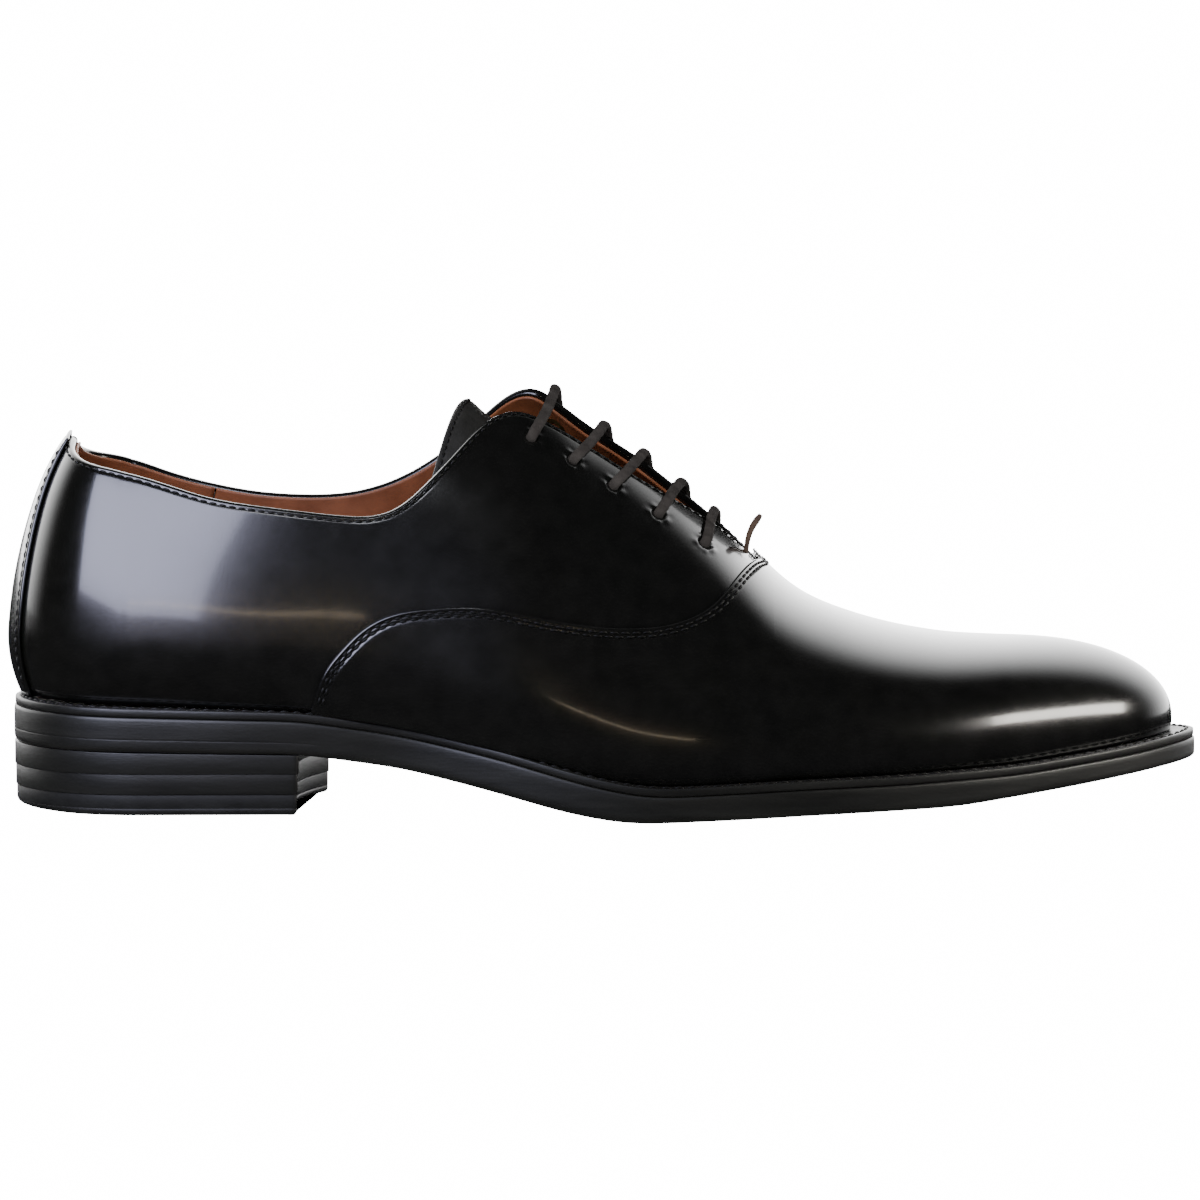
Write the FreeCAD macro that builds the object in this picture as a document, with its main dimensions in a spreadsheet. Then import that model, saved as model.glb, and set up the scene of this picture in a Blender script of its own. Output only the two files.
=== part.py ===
import FreeCAD, Part
import Sketcher
import math
import os

# A right-foot plain-toe oxford shoe, modelled piece by piece in millimetres.
# Frame: +X to the toe, +Y to the inner (medial) side of the foot, +Z up.
# The origin is the middle of the heel's tread, on the ground.
#
# The upper is built the way a shoemaker builds it: every leather layer is a thin
# shell pulled over the same last, each one a little deeper than the one above it.

Vec = FreeCAD.Vector
LATERAL = -1
MEDIAL = 1

doc = FreeCAD.newDocument("leather_oxford_shoe")

# ---------------------------------------------------------------- driving dimensions

sheet = doc.addObject("Spreadsheet::Sheet", "Dims")

DIMENSIONS = [
    ("leather_gauge", 1.0, "thickness of every upper leather"),
    ("lining_gauge", 0.85, "thickness of every lining leather"),
    ("ply_gap", 0.3, "clearance between two plies of the upper"),
    ("upper_tip_x", 264.6, "foremost point of the vamp"),
    ("sole_tip_x", 269.3, "foremost point of the welt and outsole"),
    ("ball_x", 157.0, "station of the greatest width"),
    ("upper_half_width", 48.8, "half width of the upper at the ball"),
    ("sole_half_width", 52.5, "half width of the outsole at the ball"),
    ("heel_axis_x", -6.0, "upright axis that the heel curve turns about"),
    ("heel_back_reach", 32.6, "upper's reach behind that axis"),
    ("heel_side_reach", 32.0, "upper's reach beside that axis"),
    ("sole_back_reach", 29.7, "outsole's reach behind that axis"),
    ("sole_side_reach", 33.0, "outsole's reach beside that axis"),
    ("tuck_height", 18.0, "height over which the upper pulls in to the feather edge"),
    ("toe_arch_x", 220.0, "station where the toe starts to round over"),
    ("toe_arch_base", 19.0, "height of the toe's foremost point"),
    ("toe_arch_rise", 23.9, "rise of the toe box above it"),
    ("welt_gauge", 2.2, "thickness of the welt"),
    ("welt_band", 9.0, "width of the welt strip"),
    ("sole_clearance", 0.1, "clearance between bottom pieces"),
    ("insole_gauge", 2.5, "thickness of the insole board"),
    ("sock_gauge", 0.8, "thickness of the heel sock"),
    ("top_piece_gauge", 5.3, "height of the rubber top piece"),
    ("lower_lift_base", 5.4, "height where the lower heel lift starts"),
    ("lower_lift_gauge", 5.2, "height of the lower heel lift"),
    ("upper_lift_base", 10.7, "height where the upper heel lift starts"),
    ("heel_radius", 33.0, "radius of the heel's rounded back"),
    ("heel_centre_x", -2.7, "centre of that radius"),
    ("breast_x", 38.9, "heel breast corner on the lateral side"),
    ("breast_medial_x", 45.5, "heel breast corner on the medial side"),
    ("breast_sagitta", 4.5, "hollow of the heel breast"),
    ("notch_width", 7.5, "clipped corner of the heel on the medial side"),
    ("tread_corner", 0.8, "rounded lower edge of the top piece"),
    ("nail_radius", 0.9, "shank radius of a heel nail"),
    ("nail_base", 10.75, "height where the heel nails start"),
    ("nail_span", 11.4, "length of a heel nail"),
    ("shank_span", 96.0, "length of the steel shank"),
    ("shank_width", 15.0, "width of the steel shank"),
    ("shank_gauge", 1.1, "thickness of the steel shank"),
    ("eyelet_bore", 1.75, "bore radius of a blind eyelet"),
    ("eyelet_barrel", 2.35, "barrel radius of a blind eyelet"),
    ("eyelet_flange", 3.3, "flange radius of a blind eyelet"),
    ("lace_radius", 1.0, "radius of the waxed lace"),
    ("tongue_depth", 8.5, "depth of the tongue below the last's surface"),
    ("tongue_gauge", 1.2, "thickness of the tongue leather"),
    ("tongue_drop", 2.2, "how much further the tongue's crest lies below the facings"),
]

for row, (alias, value, meaning) in enumerate(DIMENSIONS, start=1):
    sheet.set("A%d" % row, alias)
    sheet.set("B%d" % row, str(value))
    sheet.set("C%d" % row, meaning)
    sheet.setAlias("B%d" % row, alias)
doc.recompute()


def dim(alias):
    """A driving dimension, read back from the sheet."""
    return float(sheet.get(alias))


# ------------------------------------------------------------------ curves of the last


def smooth(table, x):
    """Monotone cubic through (x, value) stations, held flat beyond the ends."""
    if x <= table[0][0]:
        return table[0][1]
    if x >= table[-1][0]:
        return table[-1][1]
    slopes = [(b[1] - a[1]) / (b[0] - a[0]) for a, b in zip(table, table[1:])]
    tangents = [slopes[0]]
    for before, after in zip(slopes, slopes[1:]):
        same_way = before * after > 0
        tangents.append(2 * before * after / (before + after) if same_way else 0.0)
    tangents.append(slopes[-1])
    i = max(k for k in range(len(slopes)) if table[k][0] <= x)
    width = table[i + 1][0] - table[i][0]
    t = (x - table[i][0]) / width
    start = table[i][1] * (1 + 2 * t) * (1 - t) ** 2 + tangents[i] * width * t * (1 - t) ** 2
    end = table[i + 1][1] * t * t * (3 - 2 * t) + tangents[i + 1] * width * t * t * (t - 1)
    return start + end


# Height of the outsole's ground side: flat heel seat, shank arch, ball, toe spring.
SOLE_BOTTOM = [(-36, 16.8), (39, 15.6), (64, 12.1), (90, 6.4), (106, 2.5), (124, 0.0),
               (140, 0.6), (167, 2.1), (207, 3.7), (239, 7.8), (269.3, 11.9)]
# Height of the welt's upper face, which is also the feather edge of the upper.
WELT_TOP = [(-36, 28.3), (39, 26.4), (64, 22.7), (90, 17.4), (115, 11.2), (130, 9.4),
            (167, 11.0), (193, 11.9), (222, 13.5), (251, 16.8), (269.3, 19.4)]
# Height of the last's ridge: carried on over the foot opening, then instep and vamp.
RIDGE_TOP = [(-6, 105), (30, 108), (60, 111), (80, 111.5), (98, 110), (107, 105.5), (114, 99.5),
             (124, 93), (138, 82), (145, 76), (157, 64), (162, 58.4), (172, 52.2),
             (183, 48.2), (198, 44.4), (220, 42.9)]
# Sideways places of the ridge and of the middle of the plan outline.
RIDGE_SIDE = [(-6, 0), (60, 2.0), (98, 5.0), (125, 5.0), (145, 3.6), (160, 2.5), (200, 3.0),
              (264.6, 4.0)]
PLAN_MIDDLE = [(-6, 0), (30, -1.5), (60, -3.0), (90, -3.0), (120, -2.0), (157, -0.5),
               (200, 1.0), (240, 2.5), (264.6, 4.0)]
# Half widths behind the ball.
UPPER_HALF = [(-6, 32.0), (20, 31.5), (40, 30.8), (60, 31.0), (80, 35.0), (100, 40.5),
              (120, 45.0), (140, 48.0), (157, 48.8)]
SOLE_HALF = [(-6, 33.0), (20, 32.0), (40, 30.2), (60, 28.4), (70, 29.2), (80, 32.0),
             (90, 36.2), (100, 40.8), (115, 46.5), (130, 50.3), (157, 52.5)]
# Fullness of the cross-section: 2 is an ellipse, more is squarer, less is steeper.
FULLNESS = [(-6, 2.75), (40, 2.6), (70, 2.4), (90, 2.1), (105, 1.9), (125, 1.8), (145, 1.8),
            (160, 1.95), (180, 2.15), (220, 2.3), (264.6, 2.2)]
# How far the upper pulls in at its feather edge.
TUCK = [(-6, 2.6), (40, 2.0), (100, 1.6), (264.6, 1.4)]
TUCK_AT_BACK = 4.2
FULLNESS_AT_BACK = 2.05

# The almond toe in plan: half width falls off as (1 - t^power)^root from the ball on.
TOE_POWER = 1.85
TOE_ROOT = 0.55
TOE_ARCH_POWER = 2.3
WIDTH_FOR_FULL_DEPTH = 45.0
RISE_FOR_FULL_DEPTH = 24.0
REACH_FOR_FULL_TUCK = 20.0
# The upper's lower edge stands this far above the welt.
FEATHER_CLEARANCE = 0.75


def half_width(x, table, ball_half_width, tip_x):
    """Half width of a plan outline at station x."""
    ball_x = dim("ball_x")
    if x <= ball_x:
        return smooth(table, x)
    t = min(1.0, (x - ball_x) / (tip_x - ball_x))
    return ball_half_width * max(0.0, 1 - t ** TOE_POWER) ** TOE_ROOT


def ridge_height(x):
    arch_x = dim("toe_arch_x")
    if x <= arch_x:
        return smooth(RIDGE_TOP, x)
    t = min(1.0, (x - arch_x) / (dim("upper_tip_x") - arch_x))
    rise = max(0.0, 1 - t ** TOE_ARCH_POWER) ** (1 / TOE_ARCH_POWER)
    return dim("toe_arch_base") + dim("toe_arch_rise") * rise


def column(side, place, depth=0.0, drop=0.0):
    """One upright rib of the last.

    place from -1 to 0 turns round the heel, from its back seam to its side; from 0 on it
    is the distance forward of the heel axis. depth is how far below the last's surface
    the rib lies, and drop lowers its crest further. Returns the rib's foot on the ridge
    line, its direction in plan, its reach, base height, rise, fullness and tuck.
    """
    axis_x = dim("heel_axis_x")
    if place < 0:
        turn = -place * math.pi / 2
        back = math.sin(turn) ** 2
        reach = dim("heel_side_reach") * (1 - back) + dim("heel_back_reach") * back
        fullness = FULLNESS[0][1] * (1 - back) + FULLNESS_AT_BACK * back
        tuck = TUCK[0][1] * (1 - back) + TUCK_AT_BACK * back
        direction = Vec(-math.sin(turn), side * math.cos(turn), 0)
        base = smooth(WELT_TOP, axis_x - reach * math.sin(turn))
        rise = ridge_height(axis_x) - base
        return Vec(axis_x, 0, 0), direction, reach - depth, base, rise - depth - drop, fullness, tuck
    x = axis_x + place
    half = half_width(x, UPPER_HALF, dim("upper_half_width"), dim("upper_tip_x"))
    lean = smooth(RIDGE_SIDE, x) - smooth(PLAN_MIDDLE, x)
    reach = half - side * lean * min(1.0, half / REACH_FOR_FULL_TUCK)
    ball_x = dim("ball_x")
    span = dim("upper_tip_x") - ball_x
    inner_x = x
    if x > ball_x:
        inner_x = ball_x + (x - ball_x) * (span - depth) / span
    base = smooth(WELT_TOP, inner_x)
    rise = max(0.0, ridge_height(x) - smooth(WELT_TOP, x))
    reach_share = min(1.0, half / WIDTH_FOR_FULL_DEPTH) if x > ball_x else 1.0
    rise_share = min(1.0, rise / RISE_FOR_FULL_DEPTH)
    foot = Vec(inner_x, smooth(RIDGE_SIDE, x), 0)
    tuck = smooth(TUCK, x) * min(1.0, reach / REACH_FOR_FULL_TUCK)
    return (foot, Vec(0, side, 0), reach - depth * reach_share, base,
            rise - (depth + drop) * rise_share, smooth(FULLNESS, x), tuck)


def last_point(side, place, angle, depth=0.0, drop=0.0):
    """A point of the last: angle 0 is the feather edge, pi/2 the ridge."""
    foot, direction, reach, base, rise, fullness, tuck = column(side, place, depth, drop)
    out = max(0.0, math.cos(angle)) ** (2 / fullness)
    lift = rise * max(0.0, math.sin(angle)) ** (2 / fullness)
    tuck_height = dim("tuck_height")
    pull = tuck * max(0.0, 1 - lift / tuck_height) ** 2
    point = foot + direction * max(0.0, reach * out - pull)
    point.z = base + FEATHER_CLEARANCE + lift
    return point


def angle_at(side, place, z):
    """The angle on a rib at which the last's surface has height z."""
    base, rise, fullness = column(side, place)[3:6]
    share = min(1.0, max(0.0, (z - base) / rise))
    return math.asin(share ** (fullness / 2))


def steps(first, last, count):
    """count + 1 evenly spaced numbers."""
    return [first + (last - first) * i / count for i in range(count + 1)]


# ----------------------------------------------------------------------- shape helpers


def surface_through(rows):
    surface = Part.BSplineSurface()
    surface.interpolate(rows)
    return surface


def border_edges(surface):
    """The four border edges of a surface: first row, last row, first and last column."""
    u0, u1, v0, v1 = surface.bounds()
    return [surface.uIso(u0).toShape(), surface.uIso(u1).toShape(),
            surface.vIso(v0).toShape(), surface.vIso(v1).toShape()]


def closed_solid(faces):
    """Sew faces into one solid, turned outside out."""
    shell = Part.Shell(faces)
    shell.sewShape()
    solid = Part.Solid(Part.Shell(shell.Faces))
    if solid.Volume < 0:
        solid.reverse()
    return solid


def thick_patch(outer_rows, inner_rows):
    """A ply of leather between two four-sided grids of points."""
    outer = surface_through(outer_rows)
    inner = surface_through(inner_rows)
    faces = [outer.toShape(), inner.toShape()]
    for outer_edge, inner_edge in zip(border_edges(outer), border_edges(inner)):
        faces.append(Part.makeRuledSurface(outer_edge, inner_edge))
    return closed_solid(faces)


# Rows of a ply crowd together towards its lower edge, where the leather turns in.
ROW_CROWDING = 1.6
FULL_ROWS = 16


def ply(ribs, low, high, depth, gauge, rows=FULL_ROWS):
    """A ply along a run of ribs, between a lower and an upper angle on each rib."""
    shares = [share ** ROW_CROWDING for share in steps(0, 1, rows)]
    grids = []
    for level in (depth, depth + gauge):
        grid = []
        for side, place in ribs:
            first = low(side, place)
            final = high(side, place)
            grid.append([last_point(side, place, first + share * (final - first), level)
                         for share in shares])
        grids.append(grid)
    return thick_patch(grids[0], grids[1])


RIB_PITCH = 4.5
TURN_RIBS = 12


def run_of_ribs(side, first, last, count):
    """Ribs along one side, in order."""
    return [(side, place) for place in steps(first, last, count)]


def round_the_heel(lateral_end, medial_end):
    """Ribs from the lateral side, round the back of the heel, to the medial side."""
    lateral = run_of_ribs(LATERAL, lateral_end, 0, max(2, round(lateral_end / RIB_PITCH)))
    medial = run_of_ribs(MEDIAL, 0, medial_end, max(2, round(medial_end / RIB_PITCH)))
    lateral_turn = run_of_ribs(LATERAL, -1 / TURN_RIBS, -1, TURN_RIBS - 1)
    medial_turn = run_of_ribs(MEDIAL, 1 / TURN_RIBS - 1, -1 / TURN_RIBS, TURN_RIBS - 2)
    return lateral + lateral_turn + medial_turn + medial


ARCH_PITCH = 7.0
ARCH_TURN_X = 200.0
ARCH_TURN_RIBS = 18
ARCH_ROWS = 9


def arch_shell(first_x, depth, gauge):
    """A ply that runs over the forepart from side to side, closed round the toe."""
    axis_x = dim("heel_axis_x")
    almost_tip = math.radians(88.5)
    reach = dim("upper_tip_x") - ARCH_TURN_X
    first_turn = math.asin(max(0.0, first_x - ARCH_TURN_X) / reach)
    stations = []
    if first_x < ARCH_TURN_X:
        count = max(2, round((ARCH_TURN_X - first_x) / ARCH_PITCH))
        stations = steps(first_x, ARCH_TURN_X, count)[:-1]
    turns = steps(first_turn, almost_tip, ARCH_TURN_RIBS)
    stations += [ARCH_TURN_X + reach * math.sin(turn) for turn in turns]
    angles = [math.pi / 2 * (1 - math.cos(math.pi / 2 * share)) for share in steps(0, 1, ARCH_ROWS)]
    grids = []
    for level in (depth, depth + gauge):
        grid = []
        for x in stations:
            lateral = [last_point(LATERAL, x - axis_x, angle, level) for angle in angles]
            medial = [last_point(MEDIAL, x - axis_x, angle, level) for angle in angles[:-1]]
            grid.append(lateral + medial[::-1])
        grids.append(grid)
    return thick_patch(grids[0], grids[1])


SIDE_REACH = 75.0


def side_prism(points, straight):
    """A side-view outline carried right through the shoe from side to side.

    points is a smooth curve of (x, z) pairs, and straight closes it with straight lines.
    """
    flat = [Vec(x, -SIDE_REACH, z) for x, z in points]
    curve = Part.BSplineCurve()
    curve.interpolate(flat)
    corners = [flat[-1]] + [Vec(x, -SIDE_REACH, z) for x, z in straight] + [flat[0]]
    lines = Part.makePolygon(corners).Edges
    wire = Part.Wire([curve.toShape()] + lines)
    return Part.Face(wire).extrude(Vec(0, 2 * SIDE_REACH, 0))


def sole_point(side, place, inset):
    """A point of the sole's plan outline, moved in by inset."""
    axis_x = dim("heel_axis_x")
    if place < 0:
        turn = -place * math.pi / 2
        back = dim("sole_back_reach") - inset
        beside = dim("sole_side_reach") - inset
        return Vec(axis_x - back * math.sin(turn), side * beside * math.cos(turn), 0)
    x = axis_x + place
    half = half_width(x, SOLE_HALF, dim("sole_half_width"), dim("sole_tip_x"))
    ball_x = dim("ball_x")
    share = 1.0
    if x > ball_x:
        span = dim("sole_tip_x") - ball_x
        share = min(1.0, half / WIDTH_FOR_FULL_DEPTH)
        x = ball_x + (x - ball_x) * (span - inset) / span
    return Vec(x, smooth(PLAN_MIDDLE, x) + side * (half - inset * share), 0)


PLAN_TURN_POINTS = 8
PLAN_SIDE_POINTS = 18
PLAN_TOE_POINTS = 9


def plan_face(point_at, tip_x):
    """A closed smooth plan outline from a function of side and place."""
    axis_x = dim("heel_axis_x")
    ball_place = dim("ball_x") - axis_x
    reach = tip_x - dim("ball_x")
    places = steps(-1, 0, PLAN_TURN_POINTS)[:-1] + steps(0, ball_place, PLAN_SIDE_POINTS)
    turns = steps(0, math.pi / 2, PLAN_TOE_POINTS)[1:]
    places += [ball_place + reach * math.sin(turn) for turn in turns]
    lateral = [point_at(LATERAL, place) for place in places]
    medial = [point_at(MEDIAL, place) for place in places[1:-1]]
    curve = Part.BSplineCurve()
    curve.interpolate(lateral + medial[::-1], PeriodicFlag=True)
    return Part.Face(Part.Wire(curve.toShape()))


SLAB_TOP = 60.0
SLAB_STATIONS = 36


def bent_slab(face, low, high, first_x, last_x):
    """A plan outline cut between two side-view curves, low and high."""
    stations = steps(first_x, last_x, SLAB_STATIONS)
    lower = Part.BSplineCurve()
    lower.interpolate([Vec(x, -SIDE_REACH, low(x)) for x in stations])
    upper = Part.BSplineCurve()
    upper.interpolate([Vec(x, -SIDE_REACH, high(x)) for x in stations])
    front = Part.makeLine(lower.EndPoint, upper.EndPoint)
    rear = Part.makeLine(upper.StartPoint, lower.StartPoint)
    wire = Part.Wire([lower.toShape(), front, upper.toShape(), rear])
    prism = Part.Face(wire).extrude(Vec(0, 2 * SIDE_REACH, 0))
    column_of_air = face.extrude(Vec(0, 0, SLAB_TOP))
    column_of_air.translate(Vec(0, 0, -SLAB_TOP / 6))
    return column_of_air.common(prism)


PIECES = []


def keep(piece, name):
    """List an object as a finished sub-part under its own name."""
    piece.Label = name
    PIECES.append(piece)
    return piece


def feature(name, shape):
    """A freeform sub-part: a Part::Feature that holds a finished shape."""
    piece = doc.addObject("Part::Feature", name)
    if shape.ShapeType == "Compound" and len(shape.Solids) == 1:
        shape = shape.Solids[0]
    piece.Shape = shape
    piece.Placement = FreeCAD.Placement()
    return keep(piece, name)


# ----------------------------------------------------------------- side-view seam lines

# Top edge of the foot opening on each side, then the facing edge beside the laces.
TOP_LATERAL = [(-6, 88.1), (3, 85.6), (16, 81.6), (28, 79.5), (48, 77.3), (56, 76.9),
               (63, 78.8), (70, 83.3), (79, 91.8), (86, 98.6), (91, 101.4), (96, 101.4),
               (101, 99.4), (111, 94.6), (124, 87.6), (137, 79.2), (145, 73.6), (151, 67.5)]
TOP_MEDIAL = [(-6, 88.1), (3, 84.6), (16, 81.1), (25, 79.3), (38, 78.4), (52, 79.3),
              (61, 81.7), (70, 86.0), (80, 94.0), (88, 102.0), (94, 106.3), (99, 106.9),
              (107, 103.2), (114, 97.2), (124, 91.0), (138, 80.2), (145, 74.2), (151, 68.3)]
BACK_TOP_RISE = 7.9
BACK_TOP_POWER = 1.3
# The vamp's seam over the quarters: up from the feather edge, forward to the throat.
VAMP_SEAM = [(41.5, 24.0), (45, 36.4), (55, 47.8), (66, 52.5), (80, 54.0), (95, 52.7),
             (116, 49.3), (130, 49.3), (141, 52.6), (148.4, 57.9), (152.2, 63.0)]
# Hidden lower edge of the quarters where they run in under the vamp.
UNDERLAP = [(49.5, 24.0), (53, 32.0), (59, 39.0), (68, 43.0), (80, 44.6), (95, 43.6),
            (116, 41.0), (130, 41.3), (141, 44.6), (151, 52.0)]
FACING_START_X = 88.0
FACING_END_X = 150.0
FACING_RIB_PITCH = 3.0
LINING_SEAM_X = 16.0
EYELET_STATIONS = (98.2, 109.1, 119.4, 131.0, 143.0)
MEDIAL_LEADS = (7.0, 9.5, 9.5, 7.5, 3.0)
EYELET_SETBACK = 6.2


def top_height(side, place):
    """Height of the upper's top edge on a rib."""
    if place < 0:
        back = math.sin(-place * math.pi / 2)
        return TOP_LATERAL[0][1] + BACK_TOP_RISE * back ** BACK_TOP_POWER
    table = TOP_LATERAL if side == LATERAL else TOP_MEDIAL
    return smooth(table, dim("heel_axis_x") + place)


def top_angle(side, place):
    return angle_at(side, place, top_height(side, place))


def feather(side, place):
    """The feather edge, where every full-height ply starts."""
    return 0.0


def above_underlap(side, place):
    """Feather edge at the back, then the hidden edge under the vamp."""
    x = dim("heel_axis_x") + place
    if place < 0 or x <= UNDERLAP[0][0]:
        return 0.0
    return angle_at(side, place, smooth(UNDERLAP, x))


# ------------------------------------------------------------------------ layer depths


def level(plies):
    """Depth of the ply that lies under a number of leather plies."""
    return plies * (dim("leather_gauge") + dim("ply_gap"))


# ---------------------------------------------------------------------- upper leathers


def quarter(side, name):
    """Side panel of the upper, from the back seam to the facing beside the laces."""
    axis_x = dim("heel_axis_x")
    back_seam = 0.995
    ribs = run_of_ribs(side, -back_seam, -1 / TURN_RIBS, TURN_RIBS)
    ribs += run_of_ribs(side, 0, FACING_START_X - axis_x, 22)
    ribs += run_of_ribs(side, FACING_START_X + FACING_RIB_PITCH - axis_x, FACING_END_X - axis_x, 18)
    shape = ply(ribs, above_underlap, top_angle, level(1), dim("leather_gauge"))
    return feature(name, shape.cut(eyelet_holes(side, dim("eyelet_bore"))))


def ahead_of_vamp_seam():
    """Everything ahead of and below the vamp's seam, in side view."""
    far_x = 290.0
    high_z = 130.0
    low_z = -5.0
    ends = [(VAMP_SEAM[-1][0], high_z), (far_x, high_z), (far_x, low_z), (VAMP_SEAM[0][0], low_z)]
    return side_prism(VAMP_SEAM, ends)


# Where each arched ply of the forepart starts.
VAMP_START_X = 34.0
VAMP_LINING_START_X = 152.6
TOE_PUFF_START_X = 214.0


def vamp():
    """Front of the upper in one piece: toe, sides and throat."""
    shell = arch_shell(VAMP_START_X, 0.0, dim("leather_gauge"))
    return feature("vamp", shell.common(ahead_of_vamp_seam()))


def vamp_lining():
    """Lining under the vamp, from the throat to the toe."""
    shell = arch_shell(VAMP_LINING_START_X, level(2), dim("lining_gauge"))
    return feature("vamp_lining", shell)


def toe_puff():
    """Stiffener that holds the shape of the toe box."""
    shell = arch_shell(TOE_PUFF_START_X, level(1), dim("leather_gauge"))
    return feature("toe_puff", shell)


COUNTER_REACH = 42.0
COUNTER_BACK_HEIGHT = 66.0
COUNTER_FALL = 18.0


def heel_counter():
    """Stiffener round the back of the heel, between quarter and lining."""
    def top(side, place):
        forward = max(0.0, place) / COUNTER_REACH
        return angle_at(side, place, COUNTER_BACK_HEIGHT - COUNTER_FALL * forward)
    ribs = round_the_heel(COUNTER_REACH, COUNTER_REACH)
    shape = ply(ribs, feather, top, level(2), dim("leather_gauge"))
    return feature("heel_counter", shape)


TAPE_WIDTH = 8.0
TAPE_REACH = 84.0


def topline_tape():
    """Narrow reinforcing tape just inside the edge of the foot opening."""
    def low(side, place):
        return angle_at(side, place, top_height(side, place) - TAPE_WIDTH)
    ribs = round_the_heel(TAPE_REACH, TAPE_REACH)
    shape = ply(ribs, low, top_angle, level(2), dim("leather_gauge"), rows=3)
    return feature("topline_tape", shape)


STAY_GAUGE = 0.8
STAY_WIDTH = 14.0


def facing_stay(side, name):
    """Reinforcement behind the eyelets."""
    def low(which, place):
        return angle_at(which, place, top_height(which, place) - STAY_WIDTH)
    axis_x = dim("heel_axis_x")
    ribs = run_of_ribs(side, FACING_START_X + 1 - axis_x, FACING_END_X - 1 - axis_x, 20)
    shape = ply(ribs, low, top_angle, level(2) + 0.5 * dim("ply_gap"), STAY_GAUGE, rows=8)
    return feature(name, shape.cut(eyelet_holes(side, EYELET_SEAT)))


def quarter_lining(side, name):
    """Tan lining of the side panel, from the heel lining to the facing."""
    axis_x = dim("heel_axis_x")
    ribs = run_of_ribs(side, LINING_SEAM_X + 0.4 - axis_x, FACING_START_X - axis_x, 16)
    ribs += run_of_ribs(side, FACING_START_X + FACING_RIB_PITCH - axis_x, FACING_END_X - 1 - axis_x, 18)
    shape = ply(ribs, above_underlap, top_angle, level(3), dim("lining_gauge"))
    return feature(name, shape.cut(eyelet_holes(side, EYELET_SEAT)))


def heel_lining():
    """Tan lining round the back of the heel."""
    reach = LINING_SEAM_X - dim("heel_axis_x")
    shape = ply(round_the_heel(reach, reach), feather, top_angle, level(3), dim("lining_gauge"))
    return feature("heel_lining", shape)


def back_strip():
    """Narrow strip that covers the seam down the back of the heel."""
    half_turn = 0.30
    ribs = run_of_ribs(LATERAL, half_turn - 1, -1, 3)
    ribs += run_of_ribs(MEDIAL, -1, half_turn - 1, 3)[1:]
    shape = ply(ribs, feather, top_angle, 0.0, dim("leather_gauge"))
    return feature("back_strip", shape)


# ------------------------------------------------------------- eyelets, lace and tongue


def surface_frame(side, x, setback):
    """Point on the last and its outward normal, a setback below the facing's edge."""
    nudge = 0.02
    place = x - dim("heel_axis_x")
    table = TOP_LATERAL if side == LATERAL else TOP_MEDIAL
    angle = angle_at(side, place, smooth(table, x) - setback)
    centre = last_point(side, place, angle)
    along = last_point(side, place + nudge, angle) - centre
    up = last_point(side, place, angle + nudge) - centre
    normal = along.cross(up)
    normal.normalize()
    if normal.z < 0:
        normal = normal * -1
    return centre, normal


def eyelet_stations(side):
    """The medial facing's eyelets sit further forward than the lateral one's."""
    if side == LATERAL:
        return list(EYELET_STATIONS)
    return [x + lead for x, lead in zip(EYELET_STATIONS, MEDIAL_LEADS)]


def eyelet_frames(side):
    """Centre and outward normal of each eyelet on one side."""
    return [surface_frame(side, x, EYELET_SETBACK) for x in eyelet_stations(side)]


EYELET_SEAT = dim("eyelet_barrel") + 0.1
HOLE_REACH = 9.0
EYELET_PLAY = 0.25
FLANGE_GAUGE = 0.3


def eyelet_holes(side, radius):
    """Drills for one side's five eyelets."""
    drills = []
    for centre, normal in eyelet_frames(side):
        start = centre - normal * HOLE_REACH
        drills.append(Part.makeCylinder(radius, HOLE_REACH + 3, start, normal))
    return Part.makeCompound(drills)


def blind_eyelets():
    """Ten flanged metal tubes, set behind the facings so that none shows outside."""
    barrel_top = level(2)
    flange_at = level(3) + dim("lining_gauge") + EYELET_PLAY
    tubes = []
    for side in (LATERAL, MEDIAL):
        for centre, normal in eyelet_frames(side):
            inward = normal * -1
            start = centre + inward * barrel_top
            barrel = Part.makeCylinder(dim("eyelet_barrel"), flange_at - barrel_top, start, inward)
            seat = centre + inward * flange_at
            flange = Part.makeCylinder(dim("eyelet_flange"), FLANGE_GAUGE, seat, inward)
            bore = Part.makeCylinder(dim("eyelet_bore"), HOLE_REACH, centre, inward)
            tubes.append(barrel.fuse(flange).cut(bore).removeSplitter().Solids[0])
    return feature("blind_eyelets", Part.makeCompound(tubes))


def cord(points, radius):
    """A round cord along straight runs, with a ball at each bend."""
    runs = []
    for a, b in zip(points, points[1:]):
        runs.append(Part.makeCylinder(radius, (b - a).Length, a, b - a))
    balls = [Part.makeSphere(radius, point) for point in points[1:-1]]
    return runs[0].multiFuse(runs[1:] + balls).Solids[0]


def over_facing(side, x, setback):
    """A lace point resting on a facing, a setback below its edge."""
    centre, normal = surface_frame(side, x, setback)
    rest = dim("lace_radius") + 2.7 * dim("ply_gap") - level(1)
    return centre + normal * rest


LACE_SETBACKS = (EYELET_SETBACK, 0.0)


def lace():
    """One lace, threaded in straight bars; it changes bar behind the facings."""
    flange = level(3) + dim("lining_gauge") + EYELET_PLAY + FLANGE_GAUGE
    below = flange + dim("lace_radius") + EYELET_PLAY
    points = []
    for i in range(len(EYELET_STATIONS)):
        bar = []
        for side in (LATERAL, MEDIAL):
            x = eyelet_stations(side)[i]
            centre, normal = surface_frame(side, x, EYELET_SETBACK)
            half_bar = [centre - normal * below]
            half_bar += [over_facing(side, x, setback) for setback in LACE_SETBACKS]
            bar += half_bar if side == LATERAL else half_bar[::-1]
        points += bar if i % 2 == 0 else bar[::-1]
    return feature("lace", cord(points, dim("lace_radius")))


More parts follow.
